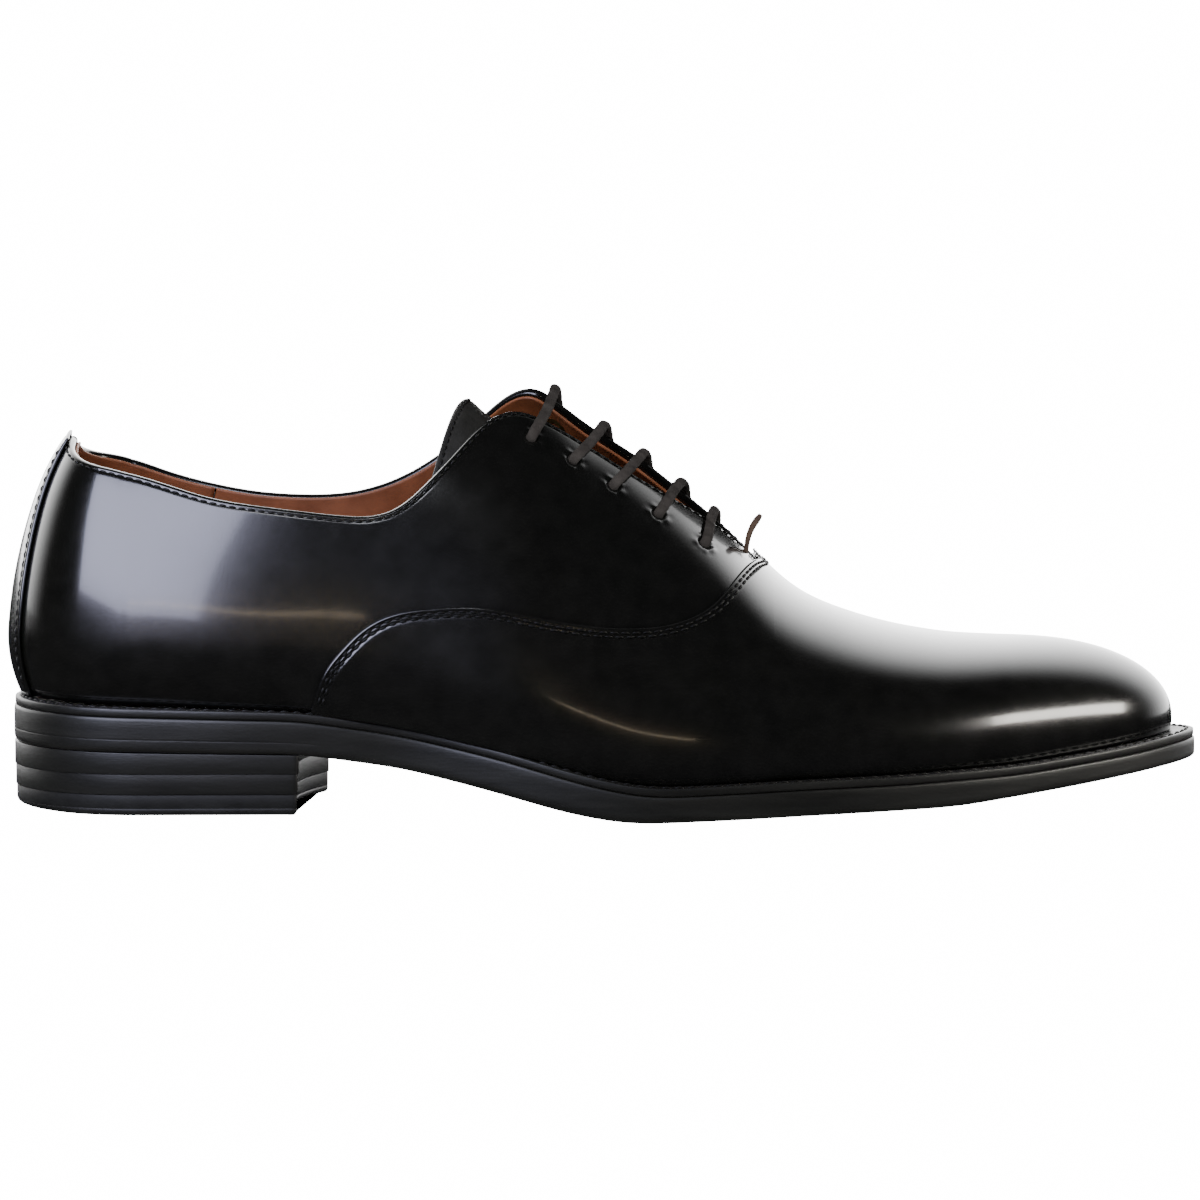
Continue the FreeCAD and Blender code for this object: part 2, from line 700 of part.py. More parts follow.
def tongue_ply(name, depth, gauge):
    """One ply of the tongue: an arched tab from the throat up past the top eyelets."""
    throat_x = 149.5
    crest_x = 80.5
    wing_setback = 9.0
    lines_each_way = 16
    half_spread = [(71, 23.5), (88, 25.5), (100, 25.5), (125, 21), (150, 10.5)]
    axis_x = dim("heel_axis_x")
    grids = []
    for under in (depth, depth + gauge):
        grid = []
        for share in steps(-1, 1, lines_each_way):
            side = LATERAL if share < 0 else MEDIAL
            rear_x = crest_x - wing_setback * share * share
            line = []
            for x in steps(rear_x, throat_x, lines_each_way):
                reach = column(side, x - axis_x)[2]
                spread = min(0.97, smooth(half_spread, x) / reach)
                angle = math.acos((abs(share) * spread) ** (smooth(FULLNESS, x) / 2))
                line.append(last_point(side, x - axis_x, angle, under, dim("tongue_drop")))
            grid.append(line)
        grids.append(grid)
    return feature(name, thick_patch(grids[0], grids[1]))


# ------------------------------------------------------------------ bottom of the shoe


def sole_bottom(x):
    return smooth(SOLE_BOTTOM, x)


def welt_top(x):
    return smooth(WELT_TOP, x)


def below_welt(extra):
    """Height of a layer's face at a distance under the welt's upper face."""
    return lambda x: welt_top(x) - extra


def sole_plan(inset):
    return plan_face(lambda side, place: sole_point(side, place, inset), dim("sole_tip_x"))


def inner_plan(depth):
    """Plan of the room inside the lining at the feather edge."""
    def point_at(side, place):
        point = last_point(side, place, 0.0, depth)
        return Vec(point.x, point.y, 0)
    return plan_face(point_at, dim("upper_tip_x"))


REAR_X = -45.0
FRONT_X = 275.0


def outsole():
    """One continuous leather sole, from the heel seat to the toe."""
    top = below_welt(dim("welt_gauge") + dim("sole_clearance"))
    body = bent_slab(sole_plan(0.0), sole_bottom, top, REAR_X, FRONT_X)
    return feature("outsole", body.cut(heel_nail_drills()))


def welt():
    """Strip round the whole edge that the upper and the outsole are sewn to."""
    low = below_welt(dim("welt_gauge"))
    whole = bent_slab(sole_plan(0.3), low, below_welt(0.0), REAR_X, FRONT_X)
    opening = sole_plan(dim("welt_band")).extrude(Vec(0, 0, SLAB_TOP))
    return feature("welt", whole.cut(opening))


SHANK_START_X = 14.0


def shank_box(clearance):
    """Block that the steel shank fills, in plan."""
    span = dim("shank_span") + 2 * clearance
    width = dim("shank_width") + 2 * clearance
    return Part.makeBox(span, width, SLAB_TOP, Vec(SHANK_START_X - clearance, -width / 2, 0))


def cork_filler():
    """Cork bed that fills the space inside the welt, with room for the shank."""
    low = below_welt(dim("welt_gauge"))
    bed = bent_slab(sole_plan(dim("welt_band") + 0.3), low, below_welt(0.2), REAR_X, FRONT_X)
    return feature("cork_filler", bed.cut(shank_box(0.3)))


def shank():
    """Steel spring under the arch of the foot."""
    low_extra = dim("welt_gauge") - 0.2
    low = below_welt(low_extra)
    high = below_welt(low_extra - dim("shank_gauge"))
    strip = bent_slab(sole_plan(0.0), low, high, REAR_X, FRONT_X)
    return feature("shank", strip.common(shank_box(0.0)))


INSOLE_PLAY = 0.6


def insole():
    """Insole board that the foot stands on."""
    depth = level(3) + dim("lining_gauge") + INSOLE_PLAY
    lift = FEATHER_CLEARANCE
    low = below_welt(-lift)
    high = below_welt(-lift - dim("insole_gauge"))
    return feature("insole", bent_slab(inner_plan(depth), low, high, REAR_X, FRONT_X))


def heel_sock():
    """Tan leather cover over the heel part of the insole."""
    depth = level(3) + dim("lining_gauge") + 2 * INSOLE_PLAY
    lift = FEATHER_CLEARANCE + dim("insole_gauge") + dim("sole_clearance")
    low = below_welt(-lift)
    high = below_welt(-lift - dim("sock_gauge"))
    whole = bent_slab(inner_plan(depth), low, high, REAR_X, FRONT_X)
    sock_end_x = 68.0
    keep_box = Part.makeBox(sock_end_x - REAR_X, 2 * SIDE_REACH, SLAB_TOP, Vec(REAR_X, -SIDE_REACH, 0))
    return feature("heel_sock", whole.common(keep_box))


NAIL_PLAY = 0.1


def heel_nail_places():
    """Nails set round the heel seat, a little in from its edge."""
    places = []
    inset = 9.0
    ring = dim("heel_radius") - inset
    centre_x = dim("heel_centre_x")
    for turn in steps(-80, 80, 6):
        angle = math.radians(turn)
        places.append(Vec(centre_x - ring * math.cos(angle), ring * math.sin(angle), 0))
    for x in (12.0, 27.0):
        places.append(Vec(x, ring, 0))
        places.append(Vec(x, -ring, 0))
    return places


def heel_nail_drills():
    """Clearance for the heel nails."""
    radius = dim("nail_radius") + NAIL_PLAY
    length = dim("nail_span") + NAIL_PLAY
    base = Vec(0, 0, dim("nail_base"))
    drills = [Part.makeCylinder(radius, length, place + base) for place in heel_nail_places()]
    return Part.makeCompound(drills)


def heel_nails():
    """Nails that hold the heel lifts to the sole, as a group."""
    base = Vec(0, 0, dim("nail_base"))
    nails = [Part.makeCylinder(dim("nail_radius"), dim("nail_span"), place + base)
             for place in heel_nail_places()]
    return feature("heel_nails", Part.makeCompound(nails))


def origin_plane(body, role):
    return next(item for item in body.Origin.OriginFeatures if item.Role == role)


def flat_sketch(body, name, role):
    """A sketch on one of the body's own origin planes."""
    sketch = body.newObject("Sketcher::SketchObject", name)
    sketch.AttachmentSupport = [(origin_plane(body, role), "")]
    sketch.MapMode = "FlatFace"
    return sketch


def draw_heel_plan(sketch, taper):
    """Heel in plan: round back, straight sides, hollow breast, clipped medial corner."""
    centre_x = dim("heel_centre_x")
    radius = dim("heel_radius") - taper
    breast_x = dim("breast_x") - taper
    medial_x = dim("breast_medial_x") - taper
    flank = radius - 1.2
    lateral_back = Vec(centre_x, -radius, 0)
    medial_back = Vec(centre_x, radius, 0)
    lateral_front = Vec(breast_x, -flank, 0)
    medial_front = Vec(breast_x + 0.5, flank, 0)
    notch_end = Vec(medial_x, flank - dim("notch_width"), 0)
    hollow = (lateral_front + notch_end) * 0.5 - Vec(dim("breast_sagitta"), 0, 0)
    back_line = Part.Arc(medial_back, Vec(centre_x - radius, 0, 0), lateral_back)
    sketch.addGeometry(back_line, False)
    sketch.addGeometry(Part.LineSegment(lateral_back, lateral_front), False)
    sketch.addGeometry(Part.Arc(lateral_front, hollow, notch_end), False)
    sketch.addGeometry(Part.LineSegment(notch_end, medial_front), False)
    sketch.addGeometry(Part.LineSegment(medial_front, medial_back), False)
    radius_limit = sketch.addConstraint(Sketcher.Constraint("Radius", 0, radius))
    sketch.setExpression("Constraints[%d]" % radius_limit, "Dims.heel_radius - %s" % taper)


def heel_layer(name, base, gauge, taper):
    """A flat heel layer: the heel's plan, padded. base and gauge are sheet expressions."""
    body = doc.addObject("PartDesign::Body", name)
    sketch = flat_sketch(body, name + "_plan", "XY_Plane")
    draw_heel_plan(sketch, taper)
    sketch.setExpression(".AttachmentOffset.Base.z", base)
    pad = body.newObject("PartDesign::Pad", name + "_pad")
    pad.Profile = sketch
    pad.setExpression("Length", gauge)
    doc.recompute()
    return body, pad


def top_piece():
    """Rubber tread of the heel, with its lower edge rounded."""
    body, pad = heel_layer("top_piece_body", "0 mm", "Dims.top_piece_gauge", 0.7)
    low_edges = ["Edge%d" % number for number, edge in enumerate(pad.Shape.Edges, start=1)
                 if edge.BoundBox.ZMax < 0.001]
    rounding = body.newObject("PartDesign::Fillet", "top_piece_rounding")
    rounding.Base = (pad, low_edges)
    rounding.setExpression("Radius", "Dims.tread_corner")
    doc.recompute()
    return keep(body, "top_piece")


def heel_lift_lower():
    """Lower lift of the stacked leather heel."""
    body = heel_layer("lower_lift_body", "Dims.lower_lift_base", "Dims.lower_lift_gauge", 0.4)[0]
    return keep(body, "heel_lift_lower")


def heel_lift_upper():
    """Upper lift of the heel: its top slopes with the sole, and the nails pass through it."""
    body, pad = heel_layer("upper_lift_body", "Dims.upper_lift_base", "7 mm", 0.1)
    slope = flat_sketch(body, "upper_lift_slope", "XZ_Plane")
    under_sole = [(-45.0, 16.84), (39.0, 15.5), (60.0, 12.5), (60.0, 30.0), (-45.0, 30.0)]
    corners = [Vec(x, z, 0) for x, z in under_sole]
    for start, end in zip(corners, corners[1:] + corners[:1]):
        slope.addGeometry(Part.LineSegment(start, end), False)
    seat = body.newObject("PartDesign::Pocket", "upper_lift_seat")
    seat.Profile = slope
    seat.Midplane = True
    seat.Type = 1
    doc.recompute()
    assert seat.Shape.Volume < 0.98 * pad.Shape.Volume, "the heel seat cut nothing"
    holes = flat_sketch(body, "upper_lift_holes", "XY_Plane")
    for place in heel_nail_places():
        circle = Part.Circle(place, Vec(0, 0, 1), dim("nail_radius") + NAIL_PLAY)
        holes.addGeometry(circle, False)
    drill = body.newObject("PartDesign::Pocket", "upper_lift_drill")
    drill.Profile = holes
    drill.Midplane = True
    drill.Type = 1
    doc.recompute()
    assert drill.Shape.Volume < seat.Shape.Volume, "the nail holes cut nothing"
    return keep(body, "heel_lift_upper")


# ---------------------------------------------------------------------------- assembly

top_piece()
heel_lift_lower()
heel_lift_upper()
heel_nails()
outsole()
welt()
cork_filler()
shank()
insole()
heel_sock()
vamp()
vamp_lining()
toe_puff()
quarter(LATERAL, "quarter_lateral")
quarter(MEDIAL, "quarter_medial")
quarter_lining(LATERAL, "quarter_lining_lateral")
quarter_lining(MEDIAL, "quarter_lining_medial")
facing_stay(LATERAL, "facing_stay_lateral")
facing_stay(MEDIAL, "facing_stay_medial")
heel_counter()
heel_lining()
topline_tape()
back_strip()
blind_eyelets()
lace()
tongue_ply("tongue", dim("tongue_depth"), dim("tongue_gauge"))
tongue_ply("tongue_lining", dim("tongue_depth") + dim("tongue_gauge") + dim("ply_gap"),
           dim("lining_gauge"))
doc.recompute()

# -------------------------------------------------------------------- checks and export

for item in doc.Objects:
    faults = {"Invalid", "Error"} & set(item.State)
    if faults:
        raise RuntimeError("%s is in state %s" % (item.Name, item.State))
for piece in PIECES:
    if piece.Shape.isNull() or not piece.Shape.isValid() or not piece.Shape.Solids:
        raise RuntimeError("%s has no valid solid" % piece.Label)

os.makedirs("parts", exist_ok=True)
for piece in PIECES:
    piece.Shape.exportStep(os.path.join("parts", piece.Label + ".step"))
print("%d sub-parts written" % len(PIECES))
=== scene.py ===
import math

import bmesh
import bpy
import numpy as np
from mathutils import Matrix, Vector


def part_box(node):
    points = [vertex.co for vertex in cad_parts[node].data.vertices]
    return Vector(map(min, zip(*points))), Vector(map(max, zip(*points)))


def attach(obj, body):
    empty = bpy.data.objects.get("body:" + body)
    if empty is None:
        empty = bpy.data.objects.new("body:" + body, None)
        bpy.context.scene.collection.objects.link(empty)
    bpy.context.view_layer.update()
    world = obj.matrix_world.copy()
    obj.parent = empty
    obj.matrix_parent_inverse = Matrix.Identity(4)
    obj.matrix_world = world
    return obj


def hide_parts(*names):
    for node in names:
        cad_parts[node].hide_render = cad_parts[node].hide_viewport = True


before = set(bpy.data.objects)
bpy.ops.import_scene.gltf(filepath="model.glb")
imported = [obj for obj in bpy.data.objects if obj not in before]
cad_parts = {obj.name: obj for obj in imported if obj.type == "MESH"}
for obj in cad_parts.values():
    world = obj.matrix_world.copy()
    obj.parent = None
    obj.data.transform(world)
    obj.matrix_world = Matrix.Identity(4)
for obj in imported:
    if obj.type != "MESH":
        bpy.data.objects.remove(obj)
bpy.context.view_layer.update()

# Lengths below are millimetres in the CAD frame: +X toe, +Y medial, +Z up. A place on the
# leather is (side, u, v): u runs forward round the last and v up from the feather edge. Past
# the ridge v carries on down the other side as w, from 1 to 2.
MM = 0.001
LATERAL = -1
MEDIAL = 1
QUARTER_TURN = math.pi / 2


def node_box(node):
    """A CAD node's lowest and highest corner in millimetres."""
    low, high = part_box(node)
    return np.array(low) / MM, np.array(high) / MM


# ------------------------------------------------------------------- curves of the last

UPPER_TIP = node_box("vamp")[1][0]
SOLE_TIP = node_box("outsole")[1][0]
SOLE_HEEL = node_box("outsole")[0][0]
UPPER_HEEL = node_box("back_strip")[0][0]
BALL = 157.0
HEEL_AXIS = -6.0
TOE_AXIS = 220.0
HEEL_REACH = HEEL_AXIS - UPPER_HEEL
HEEL_SIDE_REACH = 32.0
HEEL_GIRTH = 32.3 * QUARTER_TURN
TOE_GIRTH = 42.0 * QUARTER_TURN
TOE_U = TOE_AXIS - HEEL_AXIS
FRONT_U = TOE_U + TOE_GIRTH
LAST_CORE = np.array([110.0, 0.0, 20.0])
UPRIGHT = np.array([0.0, 0.0, 1.0])


def curve(stations, soft=5.0):
    """A smooth function through (x, value) stations: straight runs, rounded off."""
    xs, values = np.array(stations, float).T
    step = 0.5
    pad = 4 * soft
    grid = np.arange(xs[0] - 3 * pad, xs[-1] + 3 * pad, step)
    lead = (values[1] - values[0]) / (xs[1] - xs[0])
    tail = (values[-1] - values[-2]) / (xs[-1] - xs[-2])
    raw = np.interp(grid, xs, values)
    raw = raw + np.minimum(grid - xs[0], 0) * lead + np.maximum(grid - xs[-1], 0) * tail
    kernel = np.exp(-0.5 * (np.arange(-pad, pad + step, step) / soft) ** 2)
    rounded = np.convolve(raw, kernel / kernel.sum(), "same")
    return lambda x: np.interp(x, grid, rounded)


sole_bottom = curve([(-36, 16.8), (39, 15.6), (64, 12.1), (79, 8.8), (90, 6.3), (106, 2.4), (118, 0.4),
                     (126, -0.1), (141, 0.7), (167, 2.1), (207, 3.7), (239, 7.8), (269.3, 11.9)], 4.0)
welt_top = curve([(-36, 28.3), (39, 26.4), (64, 22.7), (90, 17.4), (112, 11.7), (124, 9.4), (132, 9.0),
                  (167, 11.0), (193, 11.9), (222, 13.5), (251, 16.8), (269.3, 19.2)], 4.0)
ridge_top = curve([(-6, 105), (30, 108), (60, 111), (80, 112), (96, 111.5), (107, 105.5), (114, 99.5),
                   (124, 93), (138, 82), (145, 75.8), (151, 70), (157, 63.6), (162, 58.4), (167, 54.7),
                   (172, 52), (183, 48.0), (193, 45.5), (205, 43.6), (220, 42.9), (240, 42.4)], 3.5)
ridge_side = curve([(-30, 0), (0, 0), (60, 2.0), (98, 5.0), (125, 5.0), (145, 3.6), (160, 2.5), (200, 3.0),
                    (265, 4.0)], 6.0)
plan_middle = curve([(-30, 0), (0, 0), (30, -1.5), (60, -3.0), (90, -3.0), (120, -2.0), (157, -0.5),
                     (200, 1.2), (240, 3.2), (265, 4.0)], 8.0)
upper_half = curve([(-30, 32), (0, 32), (20, 31.5), (40, 30.8), (55, 30.8), (68, 32.4), (80, 35.0),
                    (100, 40.5), (120, 45.0), (138, 47.9), (152, 49.0), (162, 49.0)], 6.0)
sole_half = curve([(-30, 33), (0, 33), (20, 32), (40, 30), (60, 28.2), (70, 29.2), (80, 32), (90, 36.2),
                   (100, 40.8), (115, 46.5), (130, 50.3), (148, 52.6), (166, 52.6)], 5.0)
fullness_at = curve([(-30, 2.75), (0, 2.75), (40, 2.6), (70, 2.4), (90, 2.1), (105, 1.9), (125, 1.82),
                     (145, 1.85), (160, 1.95), (180, 2.15), (220, 2.3), (265, 2.3)], 7.0)
tuck_at = curve([(-30, 2.6), (0, 2.6), (40, 2.0), (100, 1.6), (265, 1.5)])
BACK_TUCK = 4.2
BACK_FULLNESS = 2.05
TUCK_HEIGHT = 18.0
FEATHER_LIFT = 0.1


def toe_taper(x, tip):
    """Share of the ball's half width that is left at x: the almond toe in plan."""
    t = np.clip((x - BALL) / (tip - BALL), 0, 1)
    return np.maximum(0.0, 1 - t ** 1.85) ** 0.55


def upper_half_at(x):
    behind = upper_half(np.minimum(x, BALL))
    return np.where(x <= BALL, behind, upper_half(BALL) * toe_taper(x, UPPER_TIP))


def toe_reach_table(side):
    """Plan distance from the toe's pole to the upper's edge, against its bearing."""
    swing = np.linspace(0, QUARTER_TURN, 90)
    x = TOE_AXIS + (UPPER_TIP - TOE_AXIS) * np.sin(swing)
    y = plan_middle(x) + side * upper_half_at(x) - ridge_side(TOE_AXIS)
    bearing = np.arctan2(x - TOE_AXIS, side * y)
    bearing[-1] = max(bearing[-1], bearing[-2] + 1e-3)
    reach = np.hypot(x - TOE_AXIS, y)
    return bearing, reach


TOE_TABLES = {side: toe_reach_table(side) for side in (LATERAL, MEDIAL)}


def toe_reach(side, bearing):
    tables = [np.interp(bearing, *TOE_TABLES[s]) for s in (LATERAL, MEDIAL)]
    reach = np.where(side < 0, tables[0], tables[1])
    front = (tables[0] + tables[1]) / 2
    blend = np.clip((bearing - 1.25) / (QUARTER_TURN - 1.25), 0, 1) ** 2
    return reach * (1 - blend) + front * blend


def ribs(side, u):
    """The last's upright ribs. u runs forward from the heel axis; below 0 it turns round
    the heel and past TOE_U it turns round the toe. Returns foot x and y, direction x and
    y, reach, base height, rise, fullness and tuck."""
    heel = np.clip(-u / HEEL_GIRTH, 0, 1) * QUARTER_TURN
    toe = np.clip((u - TOE_U) / TOE_GIRTH, 0, 1) * QUARTER_TURN
    x = HEEL_AXIS + np.clip(u, 0, TOE_U)
    back = np.sin(heel) ** 2
    half = upper_half_at(x)
    lean = ridge_side(x) - plan_middle(x)
    reach = half - side * lean
    reach = np.where(u < 0, HEEL_SIDE_REACH * (1 - back) + HEEL_REACH * back, reach)
    reach = np.where(u > TOE_U, toe_reach(side, toe), reach)
    turn = np.where(u < 0, -heel, toe)
    direction_x = np.sin(turn)
    direction_y = side * np.cos(turn)
    foot_y = np.where(u < 0, 0.0, ridge_side(x))
    base = welt_top(x + direction_x * reach) + FEATHER_LIFT
    rise = ridge_top(x) - base
    fullness = fullness_at(x) * (1 - back) + BACK_FULLNESS * back
    tuck = tuck_at(x) * (1 - back) + BACK_TUCK * back
    return x, foot_y, direction_x, direction_y, reach, base, rise, fullness, tuck


def wrap(side, u, v):
    """Carry a place that runs past the ridge, heel seam or toe over to the other side."""
    over, behind, beyond = v > 1, u < -HEEL_GIRTH, u > FRONT_U
    side = np.where(over ^ behind ^ beyond, -side, side)
    u = np.where(behind, -2 * HEEL_GIRTH - u, np.where(beyond, 2 * FRONT_U - u, u))
    return side, u, np.where(over, 2 - v, v)


def surface(side, u, v):
    """Points of the last. v is 0 at the feather edge and 1 on the ridge."""
    side, u, v = wrap(side, u, v)
    x, foot_y, dx, dy, reach, base, rise, fullness, tuck = ribs(side, u)
    angle = np.clip(v, 0, 1) * QUARTER_TURN
    cosine = np.maximum(np.cos(angle), 1e-9)
    sine = np.maximum(np.sin(angle), 1e-9)
    scale = (cosine ** fullness + sine ** fullness) ** (-1 / fullness)
    lift = rise * sine * scale
    pull = tuck * np.maximum(0, 1 - lift / TUCK_HEIGHT) ** 2
    out = np.maximum(0, reach * cosine * scale - pull)
    return np.stack([x + dx * out, foot_y + dy * out, base + lift], -1)


def v_at(side, u, z):
    """Where on a rib the last's surface has height z."""
    base, rise, fullness = ribs(side, u)[5:8]
    share = np.clip((z - base) / rise, 0, 1)
    rest = (1 - share ** fullness) ** (1 / fullness)
    return np.arctan2(share, rest) / QUARTER_TURN


def unit(vectors):
    return vectors / np.maximum(np.linalg.norm(vectors, axis=-1, keepdims=True), 1e-9)


def slopes(side, u, v):
    """Derivatives of the surface along and up the ribs."""
    step_u = 0.3
    step_v = 0.003
    along = (surface(side, u + step_u, v) - surface(side, u - step_u, v)) / (2 * step_u)
    low = np.maximum(v - step_v, 0)
    up = (surface(side, u, v + step_v) - surface(side, u, low)) / (v + step_v - low)[..., None]
    return along, up


def normals(side, u, v):
    """Outward unit normals of the last."""
    along, up = slopes(side, u, v)
    cross = np.cross(along, up)
    outward = unit(cross)
    inside_out = np.sum(outward * (surface(side, u, v) - LAST_CORE), -1) < 0
    outward = np.where(inside_out[..., None], -outward, outward)
    near_pole = np.linalg.norm(cross, axis=-1) < 1.0
    return np.where(near_pole[..., None], UPRIGHT, outward)


# --------------------------------------------------------------------- mesh and curve tools

MERGE = 0.004
EDGE_STEPS = [0, 0.05, 0.15, 0.3, 0.5, 0.75, 1.0, 1.2, 1.4, 1.6, 1.85, 2.1, 2.35, 2.6, 2.9, 3.3, 3.9]
HEM_WIDTH = 1.3
HEM_FADE = 0.4
GROOVE_DEPTH = 0.16
PUCKER_DEPTH = 0.75
PUCKER_WIDTH = 1.5
PUCKER_REACH = 2.3
CREASES = 7
STITCH_RINGS = 6
FAR_INSIDE = 99.0


class Soup:
    """Grids of points that are merged into one mesh piece."""

    def __init__(self):
        self.points = []
        self.faces = []
        self.count = 0

    def grid(self, points, closed=False, flip=False):
        """Add a rows x columns grid of points; closed joins its last column to its first."""
        rows, columns = points.shape[:2]
        self.points.append(points.reshape(-1, 3))
        index = np.arange(rows * columns).reshape(rows, columns) + self.count
        if closed:
            index = np.concatenate([index, index[:, :1]], 1)
        quads = np.stack([index[:-1, :-1], index[:-1, 1:], index[1:, 1:], index[1:, :-1]], -1)
        quads = quads.reshape(-1, 4)
        self.faces.extend((quads[:, ::-1] if flip else quads).tolist())
        self.count += rows * columns

    def shell(self, outer, inner, columns=(0, -1)):
        """Add a sheet's two faces, joined along their last row and the given columns."""
        self.grid(outer)
        self.grid(inner, flip=True)
        self.grid(np.stack([outer[-1], inner[-1]]))
        for column in columns:
            self.grid(np.stack([outer[:, column], inner[:, column]]))

    def cap(self, loop):
        """Add a flat face over a loop of points."""
        self.points.append(loop)
        self.faces.append(list(range(self.count, self.count + len(loop))))
        self.count += len(loop)

    def tubes(self, centres, ups, width, thickness, sides=6):
        """Add closed tubes: centres and ups are tubes x rings x 3, width and thickness the
        half sizes of the oval section, as numbers or one per ring."""
        tangents = unit(np.gradient(centres, axis=1))
        across = unit(np.cross(tangents, ups))
        ups = np.cross(across, tangents)
        turn = np.arange(sides) * 2 * math.pi / sides
        wide = np.cos(turn) * np.broadcast_to(width, centres.shape[:2])[..., None]
        tall = np.sin(turn) * np.broadcast_to(thickness, centres.shape[:2])[..., None]
        rings = centres[:, :, None] + across[:, :, None] * wide[..., None] + ups[:, :, None] * tall[..., None]
        for tube in rings:
            self.grid(tube, closed=True)
            self.cap(tube[0])
            self.cap(tube[-1])

    def piece(self, name, material):
        """Make the mesh object, with doubles merged and its faces turned outward."""
        mesh = bpy.data.meshes.new(name)
        mesh.from_pydata((np.concatenate(self.points) * MM).tolist(), [], self.faces)
        work = bmesh.new()
        work.from_mesh(mesh)
        bmesh.ops.remove_doubles(work, verts=work.verts, dist=MERGE * MM)
        bmesh.ops.dissolve_degenerate(work, edges=work.edges, dist=MERGE / 2 * MM)
        bmesh.ops.recalc_face_normals(work, faces=work.faces)
        work.to_mesh(mesh)
        work.free()
        mesh.polygons.foreach_set("use_smooth", [True] * len(mesh.polygons))
        piece = bpy.data.objects.new(name, mesh)
        bpy.context.scene.collection.objects.link(piece)
        mesh.materials.append(material)
        return piece


def run_length(points):
    """Distance along a line of points, at each point."""
    return np.concatenate([[0], np.cumsum(np.linalg.norm(np.diff(points, axis=0), axis=1))])


def respaced(points, count):
    """Points spaced evenly along a polyline."""
    reach = run_length(points)
    places = np.linspace(0, reach[-1], count)
    return np.stack([np.interp(places, reach, values) for values in points.T], 1)


def along_curve(points, count):
    """Resample a smooth cubic through control points, evenly spaced by length."""
    points = np.array(points, float)
    knots = run_length(points)
    n = len(points)
    matrix = np.eye(n)
    right = np.zeros_like(points)
    for i in range(1, n - 1):
        before = knots[i] - knots[i - 1]
        after = knots[i + 1] - knots[i]
        matrix[i, i - 1:i + 2] = before, 2 * (before + after), after
        right[i] = 6 * ((points[i + 1] - points[i]) / after - (points[i] - points[i - 1]) / before)
    bend = np.linalg.solve(matrix, right)

    def at(places):
        k = np.clip(np.searchsorted(knots, places, side="right") - 1, 0, n - 2)
        gap = (knots[k + 1] - knots[k])[:, None]
        b = (places - knots[k])[:, None] / gap
        a = 1 - b
        curve_part = a * points[k] + b * points[k + 1]
        return curve_part + ((a ** 3 - a) * bend[k] + (b ** 3 - b) * bend[k + 1]) * gap ** 2 / 6

    fine = np.linspace(0, knots[-1], 40 * n)
    length = run_length(at(fine))
    return at(np.interp(np.linspace(0, length[-1], count), length, fine))


def step_from_edge(side, u, v, inner_u, inner_v, distances):
    """Places at given distances inward from an edge, measured square to it on the leather.

    Returns arrays of u and v, one row per distance."""
    edge = surface(side, u, v)
    tangent = unit(np.gradient(edge, axis=0))
    outward = normals(side, u, v)
    inward = np.cross(outward, tangent)
    nudge = 0.05
    toward = surface(side, u + (inner_u - u) * nudge, v + (inner_v - v) * nudge) - edge
    inward = inward * np.sign(np.sum(inward * toward, -1, keepdims=True))
    along, up = slopes(side, u, v)
    aa = np.sum(along * along, -1)
    au = np.sum(along * up, -1)
    uu = np.sum(up * up, -1)
    ra = np.sum(along * inward, -1)
    ru = np.sum(up * inward, -1)
    det = np.maximum(aa * uu - au * au, 1e-6)
    du = (ra * uu - ru * au) / det
    dv = (ru * aa - ra * au) / det
    distances = np.array(distances)[:, None]
    return u + du * distances, v + dv * distances


def ripple(points):
    """Slight unevenness of lasted leather, in millimetres."""
    x, y, z = np.moveaxis(points, -1, 0)
    wave = np.sin(x / 9.1 + z / 14.3 + 1.3) * np.sin(z / 7.7 - y / 19.0 + 0.4)
    wave = wave + 0.7 * np.sin(x / 15.7 - z / 10.1 + y / 23.0) * np.sin(x / 21.0 + z / 12.9 + 2.1)
    return 0.05 * wave


def skin_points(side, u, v, height):
    """Points at a height above the last's surface (below it when negative)."""
    base = surface(side, u, v)
    lift = height + ripple(base)
    return base + normals(side, u, v) * lift[..., None]


def rolled(distance, radius):
    """1 well inside an edge, falling to 0 round a turned edge."""
    return np.sqrt(np.maximum(0, 1 - (1 - np.clip(distance / radius, 0, 1)) ** 2))


def groove(distance, centre, width=0.42):
    return np.exp(-((distance - centre) / width) ** 2)


def lines_between(u0, v0, u1, v1, count, power=1.0):
    """Rows of places from one line of places to another, without the first row."""
    share = (np.arange(1, count + 1) / count)[:, None] ** power
    return u0 + (u1 - u0) * share, v0 + (v1 - v0) * share


